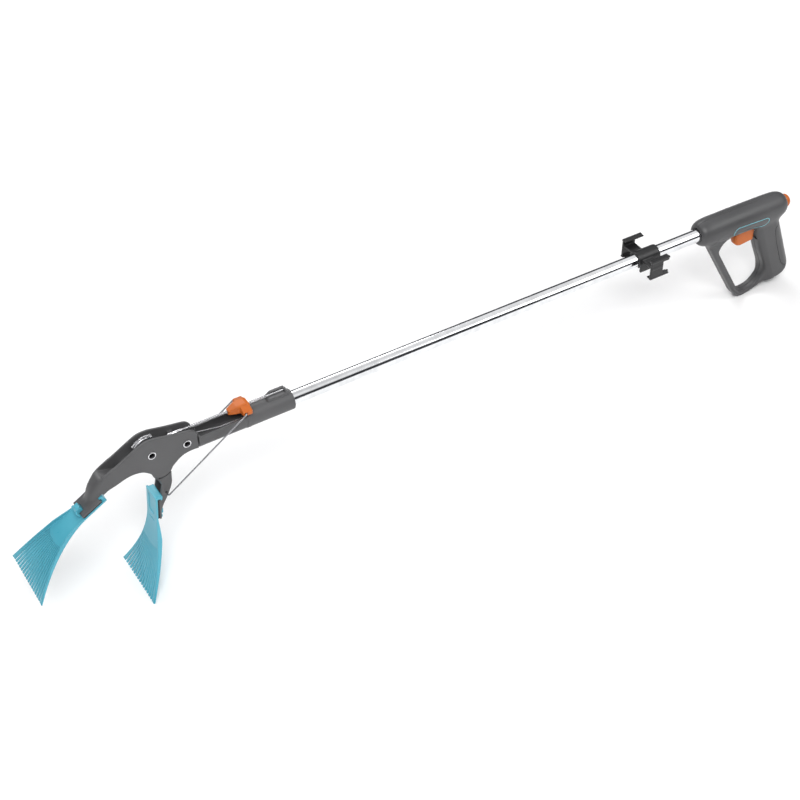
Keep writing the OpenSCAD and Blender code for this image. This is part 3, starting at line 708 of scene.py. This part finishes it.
def holder_f(x, y, z):
    r = np.sqrt(y * y + z * z)
    ay = np.abs(y)
    d = smax(r - 11.2, np.abs(x - HOLD - 17) - 17, 1.2)
    plate = smax(plate_outline(x, z), np.abs(ay - 29.5) - 1.5, 0.9)
    lip = smax(np.maximum(np.abs(x - HOLD - 17.5) - 14.5, np.abs(ay - 27.25) - 3.75),
               np.abs(np.abs(z) - 12.5) - 1, 0.8)
    arm = smax(np.maximum(np.abs(x - HOLD - 13) - 8, np.abs(ay - 19.5) - 11.5), np.abs(z - 2.5) - 1.5, 0.8)
    leg = box3(x, ay, z, (HOLD + 3, 8.0, -14), (HOLD + 20, 11.2, 0))
    d = smin(smin(d, leg, 1.0), smin(smin(plate, lip, 1.2), arm, 1.2), 1.2)
    d = cut(d, r - 9.05, 0.4)
    return cut(d, np.maximum(ay - 7.4, z), 0.6)


field("clip_holder", holder_f, (500, -31, -14), (534, 31, 14), 0.5, MAT["black"], "holder",
      "accessory_holder", "holder")

# ---------------------------------------------------------------- head: socket and channel
ROD_Z = 17.8


def u_f(y, z, half, low, top):
    """The section of a trough with a round floor at low and walls up to top."""
    c = low + half
    r = np.sqrt(y * y + (z - c) ** 2) - half
    return np.where(z < c, r, np.maximum(np.abs(y) - half, z - top))


def socket_f(x, y, z):
    r = np.sqrt(y * y + z * z)
    ay = np.abs(y)
    # the channel's walls rise towards the round socket
    top = 6.4 + 2.3 * np.clip((x + 118) / 45, 0, 1)
    d = smax(smax(u_f(y, z, 11.2, -13, 30), z - top, 1.0), np.maximum(-127.6 - x, x + 62), 1.0)
    d = smin(d, smax(r - 12.8, np.abs(x + 35) - 31, 1.4), 2.0)
    fin = poly2(x, z, [[-36, 6], [-36, 15], [-29, 20.2], [-11.5, 20.2], [-8, 15.6], [-8, 6]])
    d = smin(d, smax(fin, ay - 5.4, 1.4), 1.6)
    tongue = smax(u_f(y, z, 7.18, -9.5, 11), np.maximum(-163 - x, x + 126), 1.0)
    d = smin(d, tongue, 0.6)
    d = cut(d, np.maximum(r - 9.0, -30 - x), 0.5)
    d = cut(d, np.maximum(u_f(y, z, 8.8, -10.6, 40), np.maximum(-124.5 - x, x + 66)), 1.0)
    d = cut(d, np.maximum(u_f(y, z, 4.6, -7.2, 40), np.maximum(-180 - x, x + 120)), 0.5)
    d = cut(d, np.maximum(r - 8.4, np.maximum(-67 - x, x + 41)), 0.6)
    d = cut(d, np.maximum(r - 6, np.maximum(-67 - x, x)), 0.4)
    # the rod's seat in the fin, open to one side
    d = cut(d, np.maximum(np.abs(y + 2.2) - 3.8, np.maximum(16.7 - z, np.abs(x + 25) - 12)), 0.5)
    d = cut(d, cyl_y(x, z, CLAMP, RIVET_HOLE), 0.3)
    # a shallow panel line along each flank of the channel
    line = np.maximum(np.abs(z + 3.4) - 0.3, np.maximum(np.abs(x + 95) - 27, 10.8 - ay))
    return cut(d, line, 0.3)


field("head_channel", socket_f, (-163, -12.9, -13.2), (-4, 12.9, 20.4), 0.55, MAT["head"], "tool",
      "head_socket", "head")

# ---------------------------------------------------------------- feet
# a foot is its toe, the direction from its heel to its toe, and the direction up from its sole
FOOT_LENGTH, FOOT_HALF = 28, 13.5
LEAN_F, LEAN_R = math.radians(30), math.radians(5)
ALONG_F = np.array([-math.cos(LEAN_F), -math.sin(LEAN_F)])
ALONG_R = np.array([-math.sin(LEAN_R), -math.cos(LEAN_R)])
FRONT_FOOT = (np.array([-251.0, -28.0]) + FOOT_LENGTH * ALONG_F, ALONG_F,
              np.array([-math.sin(LEAN_F), math.cos(LEAN_F)]))
REAR_FOOT = (np.array([-191.0, -89.0]), ALONG_R, np.array([math.cos(LEAN_R), -math.sin(LEAN_R)]))


def foot_frame(x, z, foot):
    """Places along a foot, from its toe, and up from its sole."""
    toe, s, n = foot
    dx, dz = x - toe[0], z - toe[1]
    return dx * s[0] + dz * s[1], dx * n[0] + dz * n[1]


def from_foot(V, foot):
    """Moves points from a foot's own frame into the tool's."""
    toe, s, n = foot
    out = np.empty_like(V)
    out[:, 0] = toe[0] + V[:, 0] * s[0] + V[:, 2] * n[0]
    out[:, 1] = V[:, 1]
    out[:, 2] = toe[1] + V[:, 0] * s[1] + V[:, 2] * n[1]
    return out


def foot_plate(a, y, n):
    outline = np.maximum(np.abs(a + FOOT_LENGTH / 2) - FOOT_LENGTH / 2, np.abs(y) - FOOT_HALF)
    return smax(outline, np.abs(n - 3.25) - 1.25, 0.7)


def foot_cuts(d, a, y, n):
    """Makes room for the pad, for the rake's prong at the toe, and for its wall and lip at the heel."""
    d = cut(d, np.maximum(np.maximum(-34 - a, a - 30), n - 2), 0.3)
    d = cut(d, np.maximum(np.maximum(-6 - a, a - 4), np.maximum(np.abs(y) - 5, n - 21)), 0.5)
    d = cut(d, np.maximum(np.maximum(-34 - a, a + 28), n - 6.9), 0.4)
    return cut(d, np.maximum(np.maximum(-34 - a, a + 26.8), np.abs(n - 5.7) - 1.2), 0.4)


def pad_f(a, y, n):
    """A rubber pad with fine ribs across its sole."""
    d = smax(np.maximum(np.abs(a + 13.8) - 13.2, np.abs(y) - 12.9), np.abs(n - 1) - 1, 0.5)
    d = cut(d, np.maximum(-6 - a, np.abs(y) - 5), 0.4)
    return d + 0.15 * np.clip(np.cos(a * 2 * math.pi / 2.6) - 0.3, 0, 1) * (n < 1)


# ---------------------------------------------------------------- fixed jaw
JAW_TOP = bend([[-128.4, 4], [-129, 14], [-134, 20], [-141, 22.2], [-152, 24], [-166, 26.8], [-181, 30],
                [-194, 29.2], [-209, 21.8], [-226, 12.2], [-246, 3.2], [-255, -4.5], [-262.5, -16],
                [-268, -34]])
JAW_IN = bend([[-249.5, -26.5], [-244, -22.5], [-238, -18.8], [-218, -11.8], [-206, -11.2], [-197, -14],
               [-188.5, -21.5], [-184, -28.5], [-178.5, -31.2], [-172, -30.6], [-165.5, -26.5], [-161, -20],
               [-149.5, -11.5], [-138, -9], [-128.4, -9.6]])
SLOT = [[-120, -40], [-190, -40], [-206, -20], [-216, -8], [-250, 2], [-252, 8], [-240, 40], [-120, 40]]


def front_jaw_f(x, y, z):
    ay = np.abs(y)
    ol = poly2(x, z, [*JAW_TOP, *JAW_IN])
    a, n = foot_frame(x, z, FRONT_FOOT)
    half = np.interp(x, [-268, -260, -250], [8.3, 9.3, 10.2])
    # the nose is one rounded form that flows into the foot
    nose = np.clip((-232 - x) / 22, 0, 1)
    d = smax(ol, ay - half, 2.2 + 5.5 * nose)
    d = smin(d, foot_plate(a, y, n), 6.5)
    slot = smax(poly2(x, z, SLOT), ay - 7.2, 0.8 + 3 * nose)
    bridge = box3(x, y, z, (-158, -20, ROD_Z - 1.9), (-152, 20, ROD_Z))
    d = smax(d, -cut(slot, bridge, 0.3), 0.8 + 2.2 * nose)
    d = cut(d, np.maximum(np.sqrt(y * y + (z - ROD_Z) ** 2) - 2.2, np.maximum(-165 - x, x + 140)), 0.2)
    d = cut(d, cyl_y(x, z, PIVOT, RIVET_HOLE), 0.3)
    d = cut(d, cyl_y(x, z, CLAMP, RIVET_HOLE), 0.3)
    # shallow seats round the rivets, on the outside of both cheeks
    for q in (PIVOT, CLAMP):
        d = cut(d, np.maximum(cyl_y(x, z, q, 5.9), 10.05 - ay), 0.3)
    return foot_cuts(d, a, y, n)


field("fixed_jaw", front_jaw_f, (-279, -13.6, -46), (-128, 13.6, 31), 0.6, MAT["head"], "tool", "front_jaw",
      "head")

V, F = surface(pad_f, (-27.2, -13, -0.2), (-0.4, 13, 2.2), 0.4)
put("fixed_jaw_pad", from_foot(V, FRONT_FOOT), F, MAT["rubber"], "tool", ["front_foot_pad"], "pads")
put("moving_jaw_pad", from_foot(V, REAR_FOOT), F, MAT["rubber"], "moving_jaw", ["rear_foot_pad"], "pads")

# ---------------------------------------------------------------- moving jaw
BAIL_TOP, BAIL_FOOT = (-68.5, ROD_Z), (-175.0, -55.8)
JAW_BACK = bend([[-162, -16], [-165, -30], [-166.5, -46], [-174, -63], [-180.5, -74], [-186.2, -88.6]])
JAW_FRONT = [[-189.1, -88.6], [-186.5, -66], [-181.5, -54], [-178.8, -42], [-181, -32], [-184, -16]]

NECK_HALF = 6.1


def rear_jaw_f(x, y, z):
    ay = np.abs(y)
    a, n = foot_frame(x, z, REAR_FOOT)
    outer = smax(poly2(x, z, [*JAW_BACK, *JAW_FRONT]), ay - 9.6, 1.8)
    outer = cut(outer, cyl_y(x, z, PIVOT, 41.1), 0.6)
    hollow = poly2(x, z, [[-200, -44], [-172, -44], [-176.5, -62], [-183, -73], [-200, -73]])
    outer = cut(outer, smax(hollow, ay - 6.6, 1.0), 0.8)
    neck = poly2(x, z, [[-165.5, -40], [-178, -43], [-186, -30], [-191, 0], [-180, 4], [-172, -8]])
    neck = smax(neck, ay - NECK_HALF, 0.9)
    hub = smax(cyl_y(x, z, PIVOT, 9), ay - NECK_HALF, 0.6)
    d = smin(smin(outer, neck, 0.8), hub, 0.8)
    d = smin(d, smax(foot_plate(a, y, n), z + 40, 0.5), 1.6)
    d = cut(d, np.maximum(cyl_y(x, z, PIVOT, 19.2), ay - 3), 0.3)
    d = cut(d, cyl_y(x, z, PIVOT, 3.25), 0.3)
    d = cut(d, cyl_y(x, z, BAIL_FOOT, 1.3), 0.3)
    return foot_cuts(d, a, y, n)


field("moving_jaw_arm", rear_jaw_f, (-200, -13.6, -92), (-163, 13.6, 17), 0.5, MAT["head"], "moving_jaw",
      "rear_jaw", "head")

# ---------------------------------------------------------------- cable wheel, rivets, washers
half = [(-3.0, 3.26), (-3.0, 8.2), (-2.6, 8.6), (-2.6, 16.2), (-3.0, 16.6), (-3.0, 18.0), (-2.6, 18.5),
        (-1.2, 18.5), (-1.0, 18.2), (-0.95, 10.4), (-0.6, 9.8), (0.0, 9.7)]
V, F = lathe(half + [(-a, b) for a, b in half[::-1][1:]], 1, (PIVOT[0], 0, PIVOT[1]), 96)
put("grooved_cable_wheel", V, F, MAT["wheel"], "moving_jaw", ["cable_wheel"], "wheel")

# coil spring bent round the wheel's rim, which tapers to small turns at both ends
COILS, COIL_R, COIL_TALL, COIL_WIDE, COIL_WIRE = 25, 20.65, 1.95, 3.4, 0.34
s = np.linspace(0, 1, COILS * 18)
turn = 2 * math.pi * COILS * s
# it covers nearly all of the 74 degrees that start at 72
phi = np.radians(72 + 74 * (0.012 + 0.976 * s))
size = np.minimum(1, np.minimum(s, 1 - s) * 40 + 0.35)
out = COIL_R + COIL_TALL * size * np.cos(turn)
path = np.stack([PIVOT[0] + out * np.cos(phi), COIL_WIDE * size * np.sin(turn),
                 PIVOT[1] + out * np.sin(phi)], 1)
put("rim_coil_spring", *sweep(path, COIL_WIRE, 8), MAT["wire"], "moving_jaw", ["wheel_spring"], "springs")


BORE_MIDDLE, BORE_CORNER = 3.6, 3.8


def rivet(name, at, node):
    """A hollow rivet with a rolled bright ring at each end, and its bore painted near-black as shade."""
    half = [(10.2, 3.19), (10.2, 4.8), (10.35, 5.0), (10.6, 5.0), (10.85, 4.75), (10.92, 4.3), (10.8, 3.75),
            (10.4, 3.2), (9.2, 2.5)]
    V, F = lathe([(-a, b) for a, b in half[::-1]] + half, 1, (at[0], 0, at[1]), 48)
    o = put(name, V, F, MAT["steel"], "tool", [node], "rivets")
    o.data.materials.append(MAT["bore"])
    for face in o.data.polygons:
        # painted shade: the bore, every face whose middle and corners are near the axis, gets the near-black
        # material
        corners = V[list(face.vertices)][:, [0, 2]] - np.array(at)
        middle = np.hypot(*corners.mean(0))
        face.material_index = int(middle < BORE_MIDDLE and np.hypot(*corners.T).max() < BORE_CORNER)


rivet("pivot_tube_rivet", PIVOT, "pivot_rivet")
rivet("clamp_tube_rivet", CLAMP, "clamp_rivet")

# ---------------------------------------------------------------- rod, ferrule, springs, slider
profile = [(-158, 0), (-158, 0.7), (-157.7, 1.0), (-13.5, 1.0), (-13.2, 0.7), (-13.2, 0)]
V, F = lathe(profile, 0, (0, 0, ROD_Z), 24)
put("slim_guide_rod", *weld(V, F), MAT["steel"], "tool", ["guide_rod"], "rod")
profile = [(-161, 0), (-161, 1.5), (-160.5, 2.0), (-159.6, 2.18), (-154, 2.18), (-153.6, 1.95),
           (-153.0, 1.95), (-152.6, 2.18), (-144.1, 2.18), (-143.7, 2.0), (-143.5, 1.5), (-143.5, 1.01),
           (-158, 1.01), (-158, 0)]
V, F = lathe(profile, 0, (0, 0, ROD_Z), 32)
put("crimped_ferrule", *weld(V, F), MAT["steel"], "tool", ["rod_ferrule"], "ferrule")


def coil_piece(name, node, x0, x1, radius, wire, turns, z, dead=1.2):
    return put(name, *helix(x0, x1, radius, wire, turns, z, dead), MAT["wire"], "tool", [node], "springs")


spring = coil_piece("front_return_spring", "return_spring", -143.4, -85.7, 1.75, 0.35, 21, ROD_Z)
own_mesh(spring)
coil_piece("rear_buffer_spring", "buffer_spring", -59.7, -36.1, 1.75, 0.35, 8, ROD_Z)
spring = coil_piece("trigger_return_spring", "trigger_spring", 688.2, 710.4, 3, 0.45, 8, -27)
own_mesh(spring)
spring = coil_piece("rear_button_spring", "button_spring", 734, 742.3, 4, 0.5, 3, 0, 0.9)
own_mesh(spring)


def slider_f(x, y, z):
    ay = np.abs(y)
    nose = poly2(x, z, [[-85.5, 14.6], [-85.5, 20.4], [-76, 24.6], [-64, 25.2], [-60, 22.5], [-60, 13.2],
                        [-78, 13.2]])
    d = smax(nose, ay - np.interp(x, [-85.5, -74], [3.6, 6.2]), 2.0)
    wing = poly2(y, z, [[-14.8, 14.6], [-11.5, 13.4], [11.5, 13.4], [14.8, 14.6], [14.8, 19.4], [12, 20.6],
                        [5, 24], [-5, 24], [-12, 20.6], [-14.8, 19.4]])
    d = smin(d, smax(wing, np.abs(x + 66) - 6, 1.6), 1.4)
    d = cut(d, np.sqrt(y * y + (z - ROD_Z) ** 2) - 1.05, 0.3)
    # the slots for the bail's two tips, open below
    return cut(d, np.maximum(np.maximum(np.abs(x - BAIL_TOP[0]) - 1.7, z - 18.8), 9 - ay), 0.4)


field("slide_block_body", slider_f, (-86, -15, 12.8), (-60, 15, 25.4), 0.42, MAT["orange"], "slide_block",
      "slider", "slider", keep=0.55)

# ---------------------------------------------------------------- wire bail
BAIL_HALF, TIP_HALF, BAIL_WIRE = 16, 10, 0.9
ends = [(BAIL_TOP, TIP_HALF), (BAIL_TOP, BAIL_HALF), (BAIL_FOOT, BAIL_HALF)]
path = [(at[0], y, at[1]) for at, y in ends] + [(at[0], -y, at[1]) for at, y in ends[::-1]]
V, F = sweep(fillet_path(path, 1.7, 7), BAIL_WIRE, 14)
put("bent_wire_bail", V, F, MAT["bail"], "bail", ["wire_bail"], "bail")

# ---------------------------------------------------------------- cable
CABLE_R, END_R, GROOVE_R = 0.75, 0.73, 10.5
BEND = np.array([-96.0, 0.0])
to_pivot = np.array(PIVOT) - BEND
RISE = math.atan2(to_pivot[1], -to_pivot[0]) + math.asin(GROOVE_R / np.linalg.norm(to_pivot))
span = math.sqrt(to_pivot @ to_pivot - GROOVE_R ** 2)
path = [(x, 0, 0) for x in np.linspace(655, -60, 18)] + [(-92, 0, 0), (-96, 0, 0.05)]
path += [(BEND[0] - t * math.cos(RISE), 0, BEND[1] + t * math.sin(RISE))
         for t in np.linspace(4, span - 1, 12)]


def on_wheel(a0, a1):
    """Points in the wheel's groove, in degrees from where the cable meets it."""
    turns = [math.pi / 2 - RISE + math.radians(a) for a in np.linspace(a0, a1, 18)]
    return [(PIVOT[0] + GROOVE_R * math.cos(a), 0, PIVOT[1] + GROOVE_R * math.sin(a)) for a in turns]


# the cable's two ends are pieces of their own, a hair thinner, and slide inside the still part between them
still = sweep(path + on_wheel(0, 54), CABLE_R, 12)
wheel_end = sweep(on_wheel(50, 100), END_R, 12)
trigger_end = sweep([(x, 0, 0) for x in np.linspace(640, 694, 8)], END_R, 12)
put("stranded_pull_cable", *still, MAT["cable"], "tool", ["pull_cable"], "cable")
put("cable_end_on_wheel", *wheel_end, MAT["cable"], "moving_jaw", [], "cable")
put("cable_end_in_trigger", *trigger_end, MAT["cable"], "trigger_set", [], "cable")
# the liner, with a shallow ring every 4 mm
profile = [(-66, 0.82), (-66, 1.5), (-65.7, 1.7)]
for x in range(-63, -21, 4):
    profile += [(x - 0.5, 1.7), (x, 1.58), (x + 0.5, 1.7)]
profile += [(-20.3, 1.7), (-20, 1.5), (-20, 0.82)]
V, F = lathe(profile, 0, (0, 0, 0), 24)
put("ringed_cable_liner", V, F, MAT["black"], "tool", ["cable_liner"], "liner")

# ---------------------------------------------------------------- rakes
# the fan's length, where its slots begin, its tines, half its width at the tips, and its root behind the toe
FAN, BASE, TINES, HALF, ROOT = 100.0, 40.0, 16, 44.5, -32.4
FLARE, DROOP = 1.6, 0.0022


def fan_half(s):
    """Half the rake's width: as wide as the foot, then flaring towards the tips."""
    return FOOT_HALF + (HALF - FOOT_HALF) * np.power(np.clip(s, 0, FAN) / FAN, FLARE)


def rake_f(s, y, n):
    """A rake laid flat: s from the toe to the tips, n up from the sole; droop() bends it afterwards."""
    w = fan_half(s)
    ay = np.abs(y)
    part = np.clip(s, 0, FAN) / FAN
    flare = (HALF - FOOT_HALF) * FLARE / FAN * np.power(part, FLARE - 1) * (s > 0)
    slope = 1 / np.sqrt(1 + flare ** 2)
    plan = np.maximum((ay - w) * slope, np.maximum(ROOT - s, s - FAN))
    # a slot between two tines, wider towards the tips
    t = np.clip(y / w, -1.2, 1.2) * TINES / 2
    k = np.clip(np.round(t), -TINES / 2 + 1, TINES / 2 - 1)
    side = 2 * k / TINES
    base = BASE + 4.5 * (1 - side ** 2)
    run = (s - base) / (FAN + 1 - base)
    y0, y1 = side * (fan_half(base) - 0.9), side * (HALF - 1.6)
    off = np.abs(y - y0 - (y1 - y0) * run)
    gap = 0.42 + 0.75 * np.clip(run, 0, 1) ** 2
    slot = np.where(run > 0, off - gap, np.sqrt(off ** 2 + (s - base) ** 2) - 0.42)
    # the tines' field is let in below the smooth web, with a sharp edge between them
    sunk = 0.2 * np.clip((s - base + 3.2) / 0.7, 0, 1)
    d = smax(plan, np.abs(n + 1.1) - 1.1 + sunk, 0.5)
    d = cut(d, slot, 0.3)
    rise = 4.2 * np.clip(s / 30, 0, 1) * (1 - part ** 2)
    rim = smax(np.maximum(plan, (w - 2 - ay) * slope), np.maximum(n - rise, -1.6 - n), 0.7)
    d = smin(d, rim, 0.7)
    wall = smax(np.maximum(np.abs(s + 30.5) - 1.9, ay - 12), np.maximum(n - 6.6, -2.2 - n), 0.6)
    lip = smax(np.maximum(np.abs(s + 29.75) - 2.65, ay - 12), np.abs(n - 5.63) - 0.97, 0.5)
    d = smin(d, smin(wall, lip, 0.6), 0.8)
    prong = poly2(s, n, [[-5.6, -0.5], [2, -0.5], [2, 8.5], [-0.5, 10.5], [-5.6, 10.5]])
    guard = poly2(s, n, [[0.4, -0.5], [4, -0.5], [3.2, 8], [0.4, 8]])
    d = smin(d, smin(smax(prong, ay - 4.5, 0.8), smax(guard, ay - 8, 0.8), 0.6), 0.8)
    # hollow under the root, and the groove in front of the guard that lets the prong flex
    d = cut(d, np.maximum(rbox2(s + 16, y, 14, 7.5, 6), n + 1.3), 0.5)
    return cut(d, np.maximum(np.maximum(np.abs(s - 7) - 0.6, ay - 7), n + 0.6), 0.3)


def droop(V):
    """Bends the flat fan down towards its tips."""
    V = V.copy()
    V[:, 2] -= DROOP * np.maximum(V[:, 0], 0) ** 2 + 0.02
    return V


V, F = surface(rake_f, (ROOT, -HALF - 0.2, -2.4), (FAN + 0.2, HALF + 0.2, 10.6), 0.4)
V = droop(V)
for nm, body, node, foot in (("front_leaf_rake", "tool", "front_rake", FRONT_FOOT),
                             ("rear_leaf_rake", "moving_jaw", "rear_rake", REAR_FOOT)):
    put(nm, from_foot(V, foot), F, MAT["rake"], body, [node], "rake", keep=0.6)

# ---------------------------------------------------------------- CAD pieces that keep their shape
for node, mat in (("tube_pin", "steel"), ("trigger_nipple", "brass"), ("wheel_nipple", "brass"),
                  ("pivot_washers", "steel"), ("socket_screw", "steel")):
    for s in frame["nodes"][node].material_slots:
        s.material = MAT[mat]

# ---------------------------------------------------------------- stage, lights and camera
FLOOR_HALF = 30
me = bpy.data.meshes.new("floor")
me.from_pydata([(FLOOR_HALF * a, FLOOR_HALF * b, 0) for a, b in ((-1, -1), (1, -1), (1, 1), (-1, 1))], [],
               [(0, 1, 2, 3)])
floor = bpy.data.objects.new("floor", me)
COL.objects.link(floor)
m, nt, b = shader("floor_paper", (0.93, 0.93, 0.93), 0.9)
paper = ramp(nt, noise(nt, coords(nt), 0.6, 3), [(0.2, (0.925, 0.925, 0.925)), (0.8, (0.94, 0.94, 0.94))])
nt.links.new(paper, b.inputs["Base Color"])
me.materials.append(m)

# a pale studio with a dark band above the horizon, which gives the metal its dark lines
world = bpy.data.worlds.new("studio")
bpy.context.scene.world = world
world.use_nodes = True
wt = world.node_tree
bg = wt.nodes["Background"]
tc = wt.nodes.new("ShaderNodeTexCoord")
sep = wt.nodes.new("ShaderNodeSeparateXYZ")
wt.links.new(tc.outputs["Generated"], sep.inputs["Vector"])
sky = ramp(wt, sep.outputs["Z"], [(0.0, (0.80, 0.80, 0.80)), (0.03, (0.05, 0.05, 0.055)),
                                  (0.50, (0.05, 0.05, 0.055)), (0.60, (0.92, 0.92, 0.93)),
                                  (0.84, (1.0, 1.0, 1.0)), (0.95, (0.60, 0.60, 0.61))])
wt.links.new(sky, bg.inputs["Color"])
bg.inputs["Strength"].default_value = 0.95


def soft_box(name, at, size, power):
    """A rectangular light that points at the object."""
    L = bpy.data.lights.new(name, "AREA")
    L.shape = "RECTANGLE"
    L.size, L.size_y = size
    L.energy = power
    o = bpy.data.objects.new(name, L)
    o.location = at
    o.rotation_euler = (Vector((0, 0, 0.1)) - Vector(at)).to_track_quat("-Z", "Y").to_euler()
    COL.objects.link(o)


soft_box("key", (-0.9, -1.6, 2.6), (1.6, 1.0), 50)
soft_box("fill", (1.9, -1.3, 1.7), (1.6, 1.2), 18)
soft_box("back", (0.2, 2.2, 2.1), (2.4, 0.8), 27)

# camera: the photograph's viewing angle in degrees and the camera's place, both in the tool's frame
AZIMUTH, ELEVATION, ROLL = (math.radians(a) for a in (-120.756, 41.604, -0.946))
EYE = (-590.7, -1234.7, 1203.0)
BACK = np.array([math.cos(ELEVATION) * math.cos(AZIMUTH), math.cos(ELEVATION) * math.sin(AZIMUTH),
                 math.sin(ELEVATION)])
LEVEL = np.array([-math.sin(AZIMUTH), math.cos(AZIMUTH), 0.0])
STEEP = np.cross(BACK, LEVEL)
RIGHT = math.cos(ROLL) * LEVEL + math.sin(ROLL) * STEEP
UP = math.cos(ROLL) * STEEP - math.sin(ROLL) * LEVEL
cam = bpy.data.cameras.new("camera")
cam.sensor_width = 36
cam.lens = 69.98
cam.clip_start, cam.clip_end = 0.05, 80
co = bpy.data.objects.new("camera", cam)
turned = Matrix((ROT @ np.stack([RIGHT, UP, BACK], 1)).tolist())
co.matrix_world = Matrix.Translation(to_row(EYE).tolist()) @ turned.to_4x4()
COL.objects.link(co)
bpy.context.scene.camera = co
bpy.context.scene.view_settings.view_transform = "Standard"
